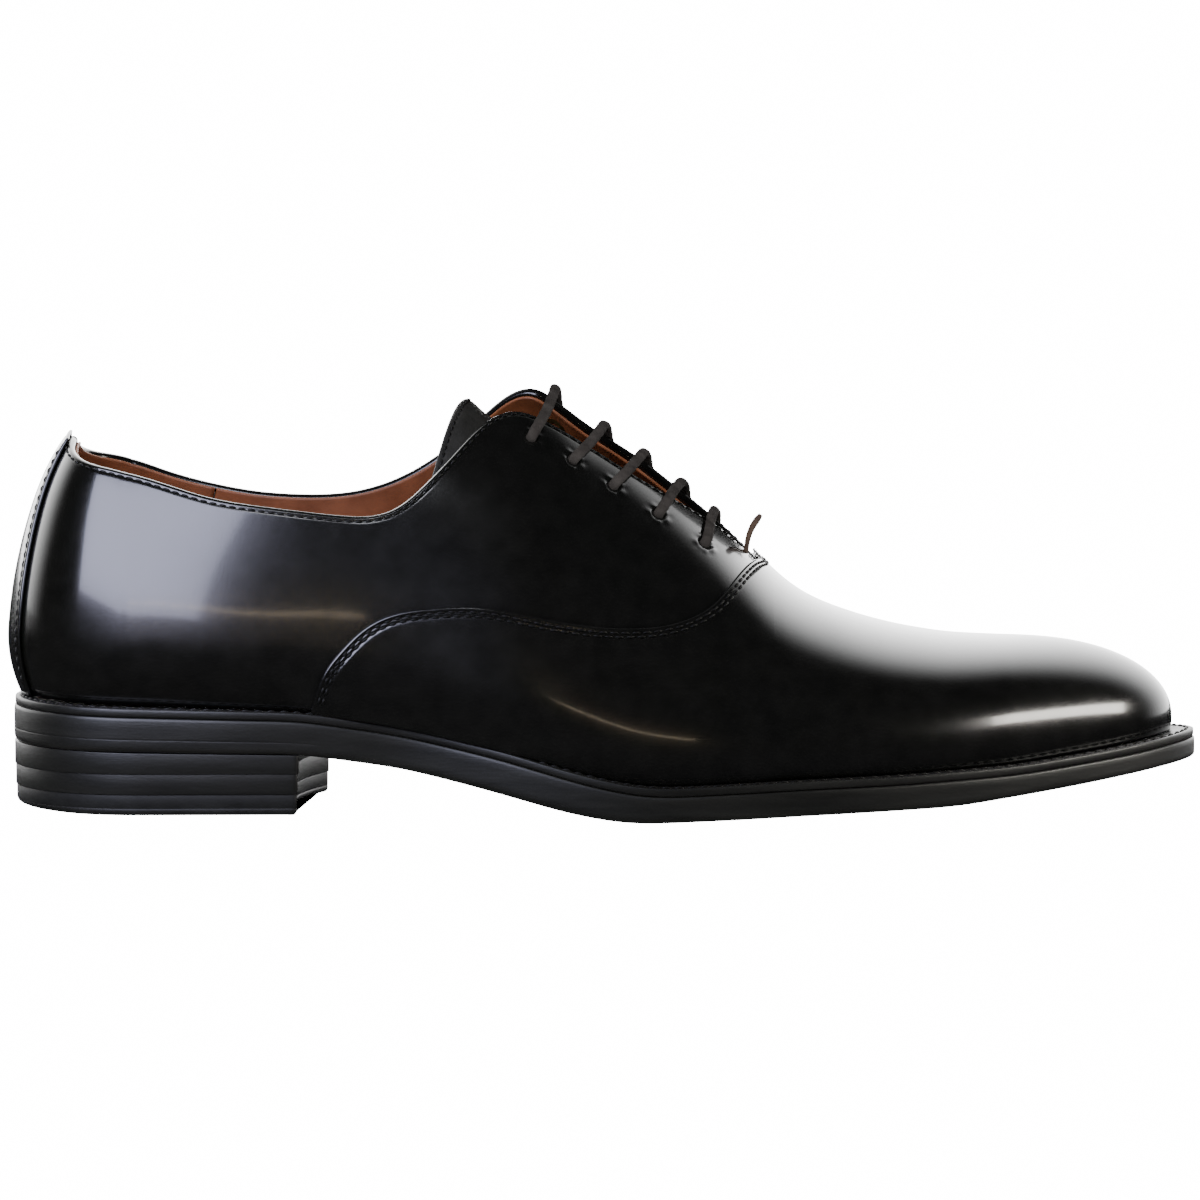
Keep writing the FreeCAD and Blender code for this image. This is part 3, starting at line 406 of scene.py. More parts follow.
def panel(name, material, side, top, bottom, outer, inner, roll, seams=(), rows=30, hem=0.0,
          crowding=1.0, dents=()):
    """A leather panel whose top edge is turned and whose bottom edge is hidden.

    top and bottom are (u, v) lines with matching columns; outer and inner are heights of
    its two faces over the last; seams are the distances of stitch grooves from the edge;
    hem is how much thicker the turned edge is; crowding gathers rows towards the edge;
    dents are points that the leather puckers down to."""
    edge_u, edge_v = step_from_edge(side, *top, *bottom, EDGE_STEPS)
    body_u, body_v = lines_between(edge_u[-1], edge_v[-1], *bottom, rows, crowding)
    u = np.concatenate([edge_u, body_u])
    v = np.concatenate([edge_v, body_v])
    sides = np.broadcast_to(side, u.shape)
    distance = np.concatenate([EDGE_STEPS, np.full(rows, FAR_INSIDE)])[:, None] + np.zeros_like(u)
    inner_face = inner - hem * (1 - np.clip((distance - HEM_WIDTH) / HEM_FADE, 0, 1))
    middle = (outer + inner_face) / 2
    half = (outer - inner_face) / 2 * rolled(distance, roll)
    outer_face = middle + half
    for seam in seams:
        outer_face = outer_face - GROOVE_DEPTH * groove(distance, seam)
    for dent in dents:
        outer_face = outer_face + pucker(surface(sides, u, v) - dent)
    soup = Soup()
    soup.shell(skin_points(sides, u, v, outer_face), skin_points(sides, u, v, middle - half))
    return soup.piece(name, material)


def pucker(offset):
    """Leather drawn down round a lace hole, with short creases that run out from it."""
    reach = np.linalg.norm(offset, axis=-1)
    bearing = np.arctan2(offset[..., 2], offset[..., 0])
    dip = -PUCKER_DEPTH * np.exp(-(reach / PUCKER_WIDTH) ** 2)
    rim = 0.18 * np.exp(-((reach - PUCKER_REACH) / 0.7) ** 2)
    crease = 0.10 * np.sin(CREASES * bearing) * np.exp(-((reach - 2.6) / 1.1) ** 2)
    return dip + rim + crease


def stitch_row(soup, side, u, v, height, pitch, length, radius):
    """Lock stitches along a line of places; each one's ends sink into the leather."""
    dense = np.linspace(0, len(u) - 1, 12 * len(u))
    line_u, line_v, line_height = [np.interp(dense, np.arange(len(u)), np.broadcast_to(values, len(u)))
                                   for values in (u, v, height)]
    sides = np.full(len(dense), side)
    reach = run_length(surface(sides, line_u, line_v))
    starts = np.arange(0.3 * pitch, reach[-1] - length, pitch)
    share = np.linspace(0, 1, STITCH_RINGS)
    wanted = starts[:, None] + length * share
    place_u = np.interp(wanted, reach, line_u)
    place_v = np.interp(wanted, reach, line_v)
    sides = np.full(wanted.shape, side)
    arch = radius * (np.sin(math.pi * share) * 1.1 - 0.75)
    centres = skin_points(sides, place_u, place_v, np.interp(wanted, reach, line_height) + arch)
    girth = radius * (0.45 + 0.55 * np.sin(math.pi * share) ** 0.6)
    soup.tubes(centres, normals(sides, place_u, place_v), girth, girth * 0.85)


# ------------------------------------------------------------------------ edges and seams

# Edge of the foot opening and of the facing, from the heel seam forward, as (u, z).
TOP_EDGE = {
    LATERAL: [(-50.7, 96.2), (-40, 95.3), (-27, 92.9), (-14, 90.3), (0, 88.1), (9, 85.6), (22, 81.6),
              (34, 79.5), (46, 78.0), (56, 77.0), (62, 76.9), (68, 78.4), (76, 84.4), (85, 93.8),
              (92, 100.6), (97, 103.2), (102, 103.3), (108, 101.0), (118, 95.2), (130, 87.6),
              (143, 79.6), (151, 74.3), (157, 69.4), (162, 64.5), (168, 58.6)],
    MEDIAL: [(-50.7, 96.2), (-40, 95.3), (-27, 92.9), (-14, 90.3), (0, 88.0), (9, 84.8), (22, 81.1),
             (31, 79.4), (44, 78.4), (58, 79.3), (67, 82.0), (76, 86.8), (86, 94.8), (94, 102.6),
             (100, 106.8), (105, 107.6), (111, 104.4), (120, 97.7), (130, 91.3), (144, 80.6),
             (151, 74.9), (157, 69.7), (162, 64.7), (168, 58.8)],
}
# The vamp's seam over the quarter as (u, z), then its throat as (u, v).
VAMP_SEAM = [(47.5, 26.4), (51, 36.2), (55.3, 42.2), (61, 47.8), (67, 51.2), (77.7, 53.4), (91, 53.9),
             (105, 51.6), (122, 49.2), (135, 49.2), (143, 50.8), (150, 54.2)]
THROAT = [(155, 0.60), (158.6, 0.73), (161.6, 0.87), (163.2, 1.0)]
UNDERLAP = [(55.5, 20.0), (59, 32.0), (65, 39.0), (74, 42.5), (86, 44.0), (101, 43.2), (122, 40.6),
            (136, 41.0), (147, 44.0), (157, 50.0), (168, 51.0)]
V_SCALE = 70.0
QUARTER_OUT = -1.25
QUARTER_IN = -2.3
LINING_OUT = -3.75
LINING_IN = -4.55
STAY_OUT = -2.6
STAY_IN = -3.4
COUNTER_OUT = -2.5
COUNTER_IN = -3.5
LINING_SETBACK = 0.5
HALF_LEATHER = 0.5
EDGE_ROLL = 0.6
VAMP_COLUMNS = 361
VAMP_STITCHES = (1.3, 2.35)
TOP_STITCH = 1.45
COUNTER_END = 44
COUNTER_TOP = 66
COUNTER_FALL = 20
VAMP_LINING_U = 159.5
TOE_PUFF_U = 220.0


def broad(side, like):
    return np.full(np.shape(like), side)


def top_edge(side, first_u, last_u, count):
    """Places along the top edge between two u values."""
    line = along_curve(TOP_EDGE[side], 1200)
    line = line[(line[:, 0] >= first_u) & (line[:, 0] <= last_u)]
    pick = np.linspace(0, len(line) - 1, count).round().astype(int)
    u, z = line[pick].T
    return u, v_at(broad(side, u), u, z)


def below_top(side, top_u):
    """Hidden lower edge of a quarter: the feather edge, then the underlap of the vamp."""
    u, z = np.array(UNDERLAP, float).T
    heights = np.interp(top_u, u, z)
    v = v_at(broad(side, top_u), top_u, heights)
    return top_u, np.where(top_u < UNDERLAP[0][0], 0.0, v)


def vamp_edge(count):
    """The vamp's seam from the lateral wing over the throat to the medial wing, as u and w."""
    u, z = np.array(VAMP_SEAM, float).T
    lateral_v = v_at(broad(LATERAL, u), u, z)
    lateral_v[0] = 0.0
    medial_v = v_at(broad(MEDIAL, u), u, z)
    medial_v[0] = 0.0
    throat = np.array(THROAT)
    lateral = np.concatenate([np.stack([u, lateral_v], 1), throat[:-1]])
    medial = np.concatenate([np.stack([u, 2 - medial_v], 1), [(a, 2 - b) for a, b in throat[:-1]]])
    whole = np.concatenate([lateral, throat[-1:], medial[::-1]])
    line = along_curve(whole * (1, V_SCALE), count)
    u = line[:, 0]
    w = np.clip(line[:, 1] / V_SCALE, 0, 2)
    return u, w


# --------------------------------------------------------------------------- materials

TONE_PLACES = (0.3, 0.7)
VORONOI = "ShaderNodeTexVoronoi"


def node_material(name):
    """A new node material; returns it with its nodes, links and principled shader."""
    material = bpy.data.materials.new(name)
    material.use_nodes = True
    nodes = material.node_tree.nodes
    return material, nodes, material.node_tree.links, nodes["Principled BSDF"]


def pattern(nodes, links, kind, scale, detail, stretch):
    """A procedural texture driven by object coordinates in metres."""
    coordinates = nodes.new("ShaderNodeTexCoord")
    mapping = nodes.new("ShaderNodeMapping")
    mapping.inputs["Scale"].default_value = stretch
    texture = nodes.new(kind)
    texture.inputs["Scale"].default_value = scale
    texture.inputs["Detail"].default_value = detail
    links.new(coordinates.outputs["Object"], mapping.inputs["Vector"])
    links.new(mapping.outputs["Vector"], texture.inputs["Vector"])
    return texture


def surface_material(name, dark, light, roughness, grain_scale, grain_depth, coat=0.0, metal=0.0,
                     kind="ShaderNodeTexNoise", stretch=(1, 1, 1)):
    """The common recipe: mottled colour, uneven roughness, and a relief at grain scale."""
    material, nodes, links, shader = node_material(name)
    mottle = pattern(nodes, links, "ShaderNodeTexNoise", grain_scale * 0.12, 4.0, stretch)
    tones = nodes.new("ShaderNodeValToRGB")
    for stop, place, tone in zip(tones.color_ramp.elements, TONE_PLACES, (dark, light)):
        stop.position = place
        stop.color = (*tone, 1)
    links.new(mottle.outputs["Fac"], tones.inputs["Fac"])
    links.new(tones.outputs["Color"], shader.inputs["Base Color"])
    spread = nodes.new("ShaderNodeMapRange")
    spread.inputs["To Min"].default_value = roughness * 0.85
    spread.inputs["To Max"].default_value = roughness * 1.2
    links.new(mottle.outputs["Fac"], spread.inputs["Value"])
    links.new(spread.outputs["Result"], shader.inputs["Roughness"])
    grain = pattern(nodes, links, kind, grain_scale, 3.0, stretch)
    relief = nodes.new("ShaderNodeBump")
    relief.inputs["Distance"].default_value = grain_depth
    links.new(grain.outputs[0], relief.inputs["Height"])
    links.new(relief.outputs["Normal"], shader.inputs["Normal"])
    shader.inputs["Coat Weight"].default_value = coat
    shader.inputs["Coat Roughness"].default_value = 0.08
    shader.inputs["Metallic"].default_value = metal
    return material


upper_leather = surface_material("polished_black_leather", (0.0042, 0.0044, 0.0042), (0.0066, 0.0067, 0.0064),
                                 0.2, 1500, 0.000006, coat=0.5, kind=VORONOI)
tongue_leather = surface_material("satin_black_leather", (0.016, 0.016, 0.0148), (0.03, 0.0295, 0.0272),
                                  0.55, 1500, 0.00003, kind=VORONOI)
lining_leather = surface_material("tan_lining_leather", (0.29, 0.094, 0.037), (0.42, 0.142, 0.06), 0.5, 1300,
                                  0.00004)
raw_leather = surface_material("raw_insole_leather", (0.45, 0.29, 0.17), (0.6, 0.42, 0.27), 0.7, 700, 0.00005)
edge_leather = surface_material("waxed_sole_edge", (0.006, 0.0062, 0.0057), (0.0125, 0.0128, 0.0115), 0.42,
                                900, 0.00003, stretch=(0.3, 0.3, 3))
heel_rubber = surface_material("heel_rubber", (0.0062, 0.0064, 0.0066), (0.0105, 0.0108, 0.011), 0.55, 1600,
                               0.00003)
thread_black = surface_material("black_thread", (0.004, 0.004, 0.004), (0.009, 0.0085, 0.0085), 0.5, 2600,
                                0.00003)
lace_cotton = surface_material("waxed_lace_cotton", (0.036, 0.032, 0.0305), (0.072, 0.065, 0.062), 0.75,
                               2400, 0.00008)
raw_cotton = surface_material("raw_lace_end", (0.07, 0.04, 0.028), (0.16, 0.10, 0.07), 0.8, 2400, 0.00008)
for cord, shine in ((thread_black, 0.22), (lace_cotton, 0.03)):
    cord.node_tree.nodes["Principled BSDF"].inputs["Specular IOR Level"].default_value = shine
cork = surface_material("cork_granules", (0.25, 0.14, 0.07), (0.5, 0.33, 0.19), 0.85, 500, 0.0002,
                        kind=VORONOI)
stiffener = surface_material("stiffener_sheet", (0.5, 0.46, 0.38), (0.66, 0.62, 0.54), 0.8, 1200, 0.00006)
steel = surface_material("rolled_steel", (0.42, 0.42, 0.43), (0.56, 0.56, 0.58), 0.32, 400, 0.00001,
                         metal=1.0, stretch=(0.1, 1, 1))
brass = surface_material("eyelet_brass", (0.5, 0.36, 0.14), (0.66, 0.5, 0.22), 0.3, 600, 0.00001, metal=1.0)


# ------------------------------------------------------------------------ upper leathers


def done(piece, body, node=None):
    """Hang a piece on its body and hide the CAD node it stands for, if one is given."""
    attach(piece, body)
    if node:
        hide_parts(node)


def ahead_of_edge(u, w):
    """Places on the toe's side of the vamp's seam, to tell which way is inward."""
    return u + 15, np.clip(1 + (w - 1) * 1.6, 0, 2)


def make_vamp():
    edge = vamp_edge(VAMP_COLUMNS)
    middle = VAMP_COLUMNS // 2
    band_u, band_w = step_from_edge(broad(LATERAL, edge[0]), *edge, *ahead_of_edge(*edge), EDGE_STEPS)
    band_w = np.clip(band_w, 0, 2)
    distance = np.array(EDGE_STEPS)[:, None] + np.zeros_like(band_u)
    half = HALF_LEATHER * rolled(distance, EDGE_ROLL)
    outer = half - HALF_LEATHER
    for seam in VAMP_STITCHES:
        outer = outer - GROOVE_DEPTH * groove(distance, seam)
    sides = broad(LATERAL, band_u)
    soup = Soup()
    soup.grid(skin_points(sides, band_u, band_w, outer))
    soup.grid(skin_points(sides, band_u, band_w, -HALF_LEATHER - half), flip=True)
    ridge_u = np.linspace(band_u[-1, middle], TOE_U, 38)[1:]
    front_u = np.linspace(TOE_U, FRONT_U, 46)[1:]
    rear = np.concatenate([ridge_u, front_u])
    sides = np.concatenate([broad(LATERAL, band_u[0, :middle + 1]), broad(LATERAL, rear),
                            broad(MEDIAL, rear[:-1]), broad(MEDIAL, band_u[0, middle:])])
    u = np.concatenate([band_u[-1, :middle + 1], rear, rear[-2::-1], band_u[-1, middle:]])
    top = np.concatenate([band_w[-1, :middle + 1], np.ones(2 * len(rear) - 1), 2 - band_w[-1, middle:]])
    v = top * np.linspace(1, 0, 56)[:, None]
    u = u + np.zeros_like(v)
    sides = sides + np.zeros_like(v)
    faces = [skin_points(sides, u, v, np.full_like(v, height)) for height in (0.0, -2 * HALF_LEATHER)]
    soup.shell(*faces, columns=())
    done(soup.piece("vamp", upper_leather), "shoe", "vamp")


def make_quarter(name, side):
    top = top_edge(side, -HEEL_GIRTH + 4, 165.5, 340)
    bottom = below_top(side, top[0])
    sides = broad(side, top[0])
    piece = panel(name, upper_leather, sides, top, bottom, QUARTER_OUT, QUARTER_IN, 1.2,
                  seams=(TOP_STITCH,), rows=52, hem=1.25, crowding=1.6, dents=lace_holes(side))
    done(piece, "shoe", name)


def hidden_layer(name, material, side, top, low, distances, outer, inner, roll, rows):
    """A layer under the quarters. Its upper edge, and its lower one if two distances are
    given, lie at those distances inward from the quarters' top edge."""
    u, v = step_from_edge(side, *top, *low, distances)
    bottom = (u[1], v[1]) if len(distances) == 2 else low
    piece = panel(name, material, side, (u[0], v[0]), bottom, outer, inner, roll, rows=rows)
    done(piece, "shoe", name)


def make_quarter_lining(name, side):
    top = top_edge(side, 22.2, 165, 220)
    feather = (top[0], np.zeros_like(top[0]))
    hidden_layer(name, lining_leather, broad(side, top[0]), top, feather, [LINING_SETBACK],
                 LINING_OUT, LINING_IN, 0.5, 30)


def round_heel(reach, count):
    """Top edge from the lateral side round the heel to the medial side."""
    lateral = top_edge(LATERAL, -HEEL_GIRTH, reach, count)
    medial = top_edge(MEDIAL, -HEEL_GIRTH, reach, count)
    u = np.concatenate([lateral[0][::-1], -2 * HEEL_GIRTH - medial[0][1:]])
    v = np.concatenate([lateral[1][::-1], medial[1][1:]])
    return u, v


def make_heel_lining():
    u, v = round_heel(22, 70)
    hidden_layer("heel_lining", lining_leather, broad(LATERAL, u), (u, v),
                 (u, np.zeros_like(v)), [LINING_SETBACK], LINING_OUT, LINING_IN, 0.5, 30)


def make_heel_counter():
    u = round_heel(COUNTER_END, 80)[0][::2]
    sides = broad(LATERAL, u)
    reach = np.abs(u + HEEL_GIRTH) / (COUNTER_END + HEEL_GIRTH)
    top_v = v_at(sides, np.maximum(u, -2 * HEEL_GIRTH - u), COUNTER_TOP - COUNTER_FALL * reach ** 2)
    piece = panel("heel_counter", stiffener, sides, (u, top_v), (u, np.zeros_like(u)), COUNTER_OUT,
                  COUNTER_IN, 0.5, rows=16)
    done(piece, "shoe", "heel_counter")


def make_topline_tape():
    u, v = round_heel(82, 100)
    hidden_layer("topline_tape", stiffener, broad(LATERAL, u), (u, v), (u, np.zeros_like(v)),
                 [2.2, 8.5], STAY_OUT, STAY_IN, 0.3, 4)


def make_facing_stay(name, side):
    top = top_edge(side, 99, 152, 80)
    hidden_layer(name, stiffener, broad(side, top[0]), top, below_top(side, top[0]),
                 [2.2, 13.0], STAY_OUT, STAY_IN, 0.3, 8)


def make_toe_layers():
    """Vamp lining and toe puff, under the vamp."""
    layers = [("vamp_lining", lining_leather, "tan_lining", (-2.5, -3.3), VAMP_LINING_U),
              ("toe_puff", stiffener, "stiffener", (-1.25, -2.2), TOE_PUFF_U)]
    for name, material, slot, heights, first_u in layers:
        u = np.concatenate([np.linspace(first_u, TOE_U, 40), np.linspace(TOE_U, FRONT_U, 30)[1:]])
        sides = np.concatenate([broad(LATERAL, u), broad(MEDIAL, u[:-1])])
        u = np.concatenate([u, u[-2::-1]])
        v = np.ones_like(u) * np.linspace(1, 0, 30)[:, None]
        u = u + np.zeros_like(v)
        sides = sides + np.zeros_like(v)
        soup = Soup()
        soup.shell(*[skin_points(sides, u, v, np.full_like(v, height)) for height in heights])
        done(soup.piece(name, material), "shoe", name)


STRIP_HALF = 15.3
STRIP_TOP = 95.0
STRIP_LENGTH = 68.0


def strip_grid():
    """Places on the back strip and their distances from its edge."""
    reach = np.array(EDGE_STEPS)
    flat = STRIP_HALF - reach[-1]
    across = np.concatenate([STRIP_HALF - reach, np.linspace(flat, -flat, 20)[1:-1],
                             -(STRIP_HALF - reach)[::-1]])
    edge_u, edge_z = along_curve(TOP_EDGE[LATERAL], 1200).T
    u = -HEEL_GIRTH + np.abs(across)
    top_z = np.interp(u, edge_u, edge_z) + 0.5
    down = np.concatenate([reach, np.linspace(reach[-1], STRIP_LENGTH, 46)[1:]])[:, None]
    z = top_z - (top_z - welt_top(UPPER_HEEL + 4)) * down / STRIP_LENGTH
    v = v_at(broad(LATERAL, z), u + np.zeros_like(z), z)
    v[-1] = 0.0
    return -HEEL_GIRTH - across + np.zeros_like(v), v, np.minimum(STRIP_HALF - np.abs(across), down)


def make_back_strip():
    u, v, distance = strip_grid()
    sides = broad(LATERAL, u)
    half = HALF_LEATHER * rolled(distance, EDGE_ROLL)
    outer = half - HALF_LEATHER - GROOVE_DEPTH * groove(distance, TOP_STITCH)
    soup = Soup()
    soup.shell(skin_points(sides, u, v, outer), skin_points(sides, u, v, -HALF_LEATHER - half), columns=())
    done(soup.piece("back_strip", upper_leather), "shoe", "back_strip")


# -------------------------------------------------------------------------------- tongue

TONGUE_LOW = [(74, 82.0), (90, 83.0), (106, 82.0), (131, 73.0), (155.5, 60.5)]
TONGUE_BACK_U = 76.8
TONGUE_CREST_U = 86.6
TONGUE_FRONT_U = 154.5
TONGUE_OUT = -5.1
TONGUE_STITCH = 1.4
TONGUE_ROWS = 44
CREST_DROP = 2.6
MIDDLE_SAG = 6.0


def tongue_grid_lines():
    """Back edge of the tongue from wing to wing, and its root in the throat."""
    share = np.linspace(-1, 1, 121)
    low_u, low_z = np.array(TONGUE_LOW, float).T
    back_u = TONGUE_CREST_U - (TONGUE_CREST_U - TONGUE_BACK_U) * np.abs(share) ** 1.7
    lines = []
    for u in (back_u, np.full_like(share, TONGUE_FRONT_U)):
        low = v_at(broad(LATERAL, u), u, np.interp(u, low_u, low_z))
        lines.append((u, 1 + (1 - low) * share))
    return lines


def tongue_sag(u, wing):
    """How far the tongue's middle hangs below its wings; deepest under the first bars."""
    hollow = np.clip((u - TONGUE_CREST_U) / 9, 0, 1) * (1 - np.clip((u - 120) / 30, 0, 1))
    return (CREST_DROP + MIDDLE_SAG * hollow * hollow * (3 - 2 * hollow)) * (1 - wing ** 2)


def make_tongue_ply(name, material, outer, inner, seams):
    back, root = tongue_grid_lines()
    sides = broad(LATERAL, back[0])
    edge_u, edge_w = step_from_edge(sides, *back, *root, EDGE_STEPS)
    body_u, body_w = lines_between(edge_u[-1], edge_w[-1], *root, TONGUE_ROWS)
    u = np.concatenate([edge_u, body_u])
    w = np.concatenate([edge_w, body_w])
    sides = broad(LATERAL, u)
    distance = np.concatenate([EDGE_STEPS, np.full(TONGUE_ROWS, FAR_INSIDE)])[:, None] + np.zeros_like(u)
    wing = np.abs(np.linspace(-1, 1, u.shape[1])) + np.zeros_like(u)
    middle = (outer + inner) / 2 - tongue_sag(u, wing)
    half = (outer - inner) / 2 * rolled(distance, EDGE_ROLL)
    face = middle + half
    for seam in seams:
        face = face - GROOVE_DEPTH * groove(distance, seam)
    soup = Soup()
    soup.shell(skin_points(sides, u, w, face), skin_points(sides, u, w, middle - half))
    done(soup.piece(name, material), "tongue", name)


# ---------------------------------------------------------------------------- the lacing

EYELET_X = (98.2, 109.1, 119.4, 131.0, 143.0)
MEDIAL_LEADS = (7.0, 9.5, 9.5, 7.5, 3.0)
EYELET_SETBACK = 6.2
LACE_WIDTH = 2.8
LACE_GAUGE = 1.7
LATERAL_TURN = 0.44
MEDIAL_TURN = 0.12


def eyelet_place(side, index, setback, slant=0.0):
    """Place on a facing, a setback below its edge and a slant from the eyelet's station."""
    lead = MEDIAL_LEADS[index] if side == MEDIAL else 0.0
    u = np.array([EYELET_X[index] + lead + slant - HEEL_AXIS])
    edge_u, edge_z = along_curve(TOP_EDGE[side], 1200).T
    z = np.interp(u, edge_u, edge_z) - setback
    return broad(side, u), u, v_at(broad(side, u), u, z)


def lace_point(side, index, setback, height):
    """A point over a facing, and the facing's outward normal there; the bar slants."""
    turn = LATERAL_TURN if side == LATERAL else MEDIAL_TURN
    slant = MEDIAL_LEADS[index] * max(0.0, 1 - setback / EYELET_SETBACK) * turn
    sides, u, v = eyelet_place(side, index, setback, -side * slant)
    return skin_points(sides, u, v, np.array([height]))[0], normals(sides, u, v)[0]


def lace_holes(side):
    return [surface(*eyelet_place(side, index, EYELET_SETBACK))[0] for index in range(len(EYELET_X))]


def lace_bar(index):
    """Centre line of one bar from eyelet to eyelet, and its flat side's direction."""
    points = []
    ups = []
    rest = QUARTER_OUT + 0.5 * LACE_GAUGE + 0.05
    for side in (LATERAL, MEDIAL):
        half = [lace_point(side, index, setback, height) for setback, height in
                ((6.3, -6.2), (6.3, -3.0), (5.9, rest - 0.5), (4.4, rest + 0.15), (2.2, rest + 0.1),
                 (0.2, rest + 0.25))]
        outward = half[2][0] - half[4][0]
        path = [point for point, normal in half]
        faces = [unit(outward), unit(outward + half[1][1] * 2)] + [normal for point, normal in half[2:]]
        points += path if side == LATERAL else path[::-1]
        ups += faces if side == LATERAL else faces[::-1]
    rings = 190
    line = along_curve(points, rings)
    order = np.linspace(0, len(points) - 1, rings)
    blended = [np.interp(order, np.arange(len(points)), np.array(ups)[:, axis]) for axis in range(3)]
    return line, unit(np.stack(blended, -1))


def make_lace():
    """Five waxed bars in a fine braid."""
    soup = Soup()
    for index in range(len(EYELET_X)):
        line, ups = lace_bar(index)
        twist = np.arange(len(line)) * 0.55
        width = LACE_WIDTH / 2 * (1 + 0.03 * np.sin(twist))
        gauge = LACE_GAUGE / 2 * (1 + 0.09 * np.sin(twist + 1.2))
        soup.tubes(line[None], ups[None], width, gauge, sides=18)
    done(soup.piece("lace", lace_cotton), "shoe", "lace")


def make_lace_end():
    """The lace's loose end, standing up out of the throat."""
    soup = Soup()
    loose = [(150.2, -3.0, 52.5), (152.0, -3.4, 58.5), (152.9, -3.6, 63.0), (153.3, -3.8, 67.0),
             (154.4, -4.0, 71.0), (156.9, -4.2, 74.9)]
    line = along_curve(loose, 60)
    share = np.linspace(0, 1, 60)
    girth = 0.42 + 0.55 * share ** 1.5
    girth = girth * np.sqrt(np.clip((1.04 - share) / 0.12, 0, 1))
    soup.tubes(line[None], np.broadcast_to([0.3, -1.0, 0.2], line[None].shape), girth, girth * 0.8, sides=12)
    done(soup.piece("lace_end", raw_cotton), "shoe")


# --------------------------------------------------------------------------- stitching

STITCH_RADIUS = 0.27
VAMP_STITCH_RADIUS = 0.33
THREAD_LIFT = 0.05
SUNK_STITCH = 0.2
TOP_PITCH = 2.5
TOP_STITCH_LENGTH = 1.8
VAMP_PITCH = 2.8
VAMP_STITCH_LENGTH = 2.0
BARTACK_U = 161.4
BARTACK_PITCH = 0.5
BARTACK_STITCHES = 7
BARTACK_SINK = 0.15


def edge_stitches(soup, side, edge, inner, distance, height, pitch):
    """A row of stitches at a distance inward from an edge."""
    row_u, row_v = step_from_edge(broad(side, edge[0]), *edge, *inner, [distance])
    stitch_row(soup, side, row_u[0], row_v[0], height + THREAD_LIFT, pitch, 0.72 * pitch, STITCH_RADIUS)


def make_upper_stitching():
    soup = Soup()
    for side in (LATERAL, MEDIAL):
        top = top_edge(side, 15.0 - HEEL_GIRTH, 160, 500)
        depth = SUNK_STITCH if side == MEDIAL else 0.0
        edge_stitches(soup, side, top, below_top(side, top[0]), TOP_STITCH, QUARTER_OUT - depth, TOP_PITCH)
    edge = vamp_edge(500)
    for distance in VAMP_STITCHES:
        row_u, row_w = step_from_edge(broad(LATERAL, edge[0]), *edge, *ahead_of_edge(*edge), [distance])
        stitch_row(soup, LATERAL, row_u[0], np.clip(row_w[0], 0.02, 1.98), THREAD_LIFT, VAMP_PITCH,
                   VAMP_STITCH_LENGTH, VAMP_STITCH_RADIUS)
    down = np.linspace(0.98, 0.05, 60)
    for across in (TOP_STITCH - STRIP_HALF, STRIP_HALF - TOP_STITCH):
        u = np.full(60, -HEEL_GIRTH - across)
        top_v = v_at(broad(LATERAL, u), u, np.full(60, STRIP_TOP - 1.6))
        stitch_row(soup, LATERAL, u, top_v * down, THREAD_LIFT, TOP_PITCH, TOP_STITCH_LENGTH,
                   STITCH_RADIUS)
    done(soup.piece("upper_stitching", thread_black), "shoe")


def make_tongue_stitching():
    soup = Soup()
    back, root = tongue_grid_lines()
    row_u, row_w = step_from_edge(broad(LATERAL, back[0]), *back, *root, [TONGUE_STITCH])
    wing = np.abs(np.linspace(-1, 1, len(back[0])))
    height = TONGUE_OUT + THREAD_LIFT - tongue_sag(row_u[0], wing)
    stitch_row(soup, LATERAL, row_u[0], row_w[0], height, TOP_PITCH, TOP_STITCH_LENGTH, STITCH_RADIUS)
    done(soup.piece("tongue_stitching", thread_black), "tongue")


def make_bartack():
    """Close stitches across the ridge that lock the two facings together at the throat."""
    soup = Soup()
    for step in range(BARTACK_STITCHES):
        u = np.full(12, BARTACK_U + BARTACK_PITCH * step)
        stitch_row(soup, LATERAL, u, np.linspace(0.91, 1.09, 12), -BARTACK_SINK, 6.0, 5.2, 0.3)
    done(soup.piece("throat_bartack", thread_black), "shoe")


# -------------------------------------------------------------------- bottom of the shoe

SOLE_SIDE_REACH = 33.0
RING_COUNT = 760
WELT_GAUGE = 2.2
WELT_BAND = 9.0
WELT_STITCH_INSET = 2.0
WELT_STITCH_PITCH = 3.3
WELT_STITCH_LENGTH = 2.7
INSOLE_INSET = 4.9
SOCK_INSET = 5.5
SOCK_END = 68.0
HEEL_RADIUS = 33.0
HEEL_CENTRE = -2.7
BREAST_HOLLOW = 4.5
# The shallow line scored round the sole's edge behind the heel breast, as shares of its
# height, the x where it ends and the length over which it fades.
SCORE_FROM = 0.33
SCORE_TO = 0.4
SCORE_END = 46
SCORE_FADE = 6


def moved_in(line, side, inset):
    """A plan line that runs toward the toe on one side, moved inward."""
    tangent = unit(np.gradient(line, axis=0))
    return line + np.stack([tangent[:, 1], -tangent[:, 0]], 1) * side * inset


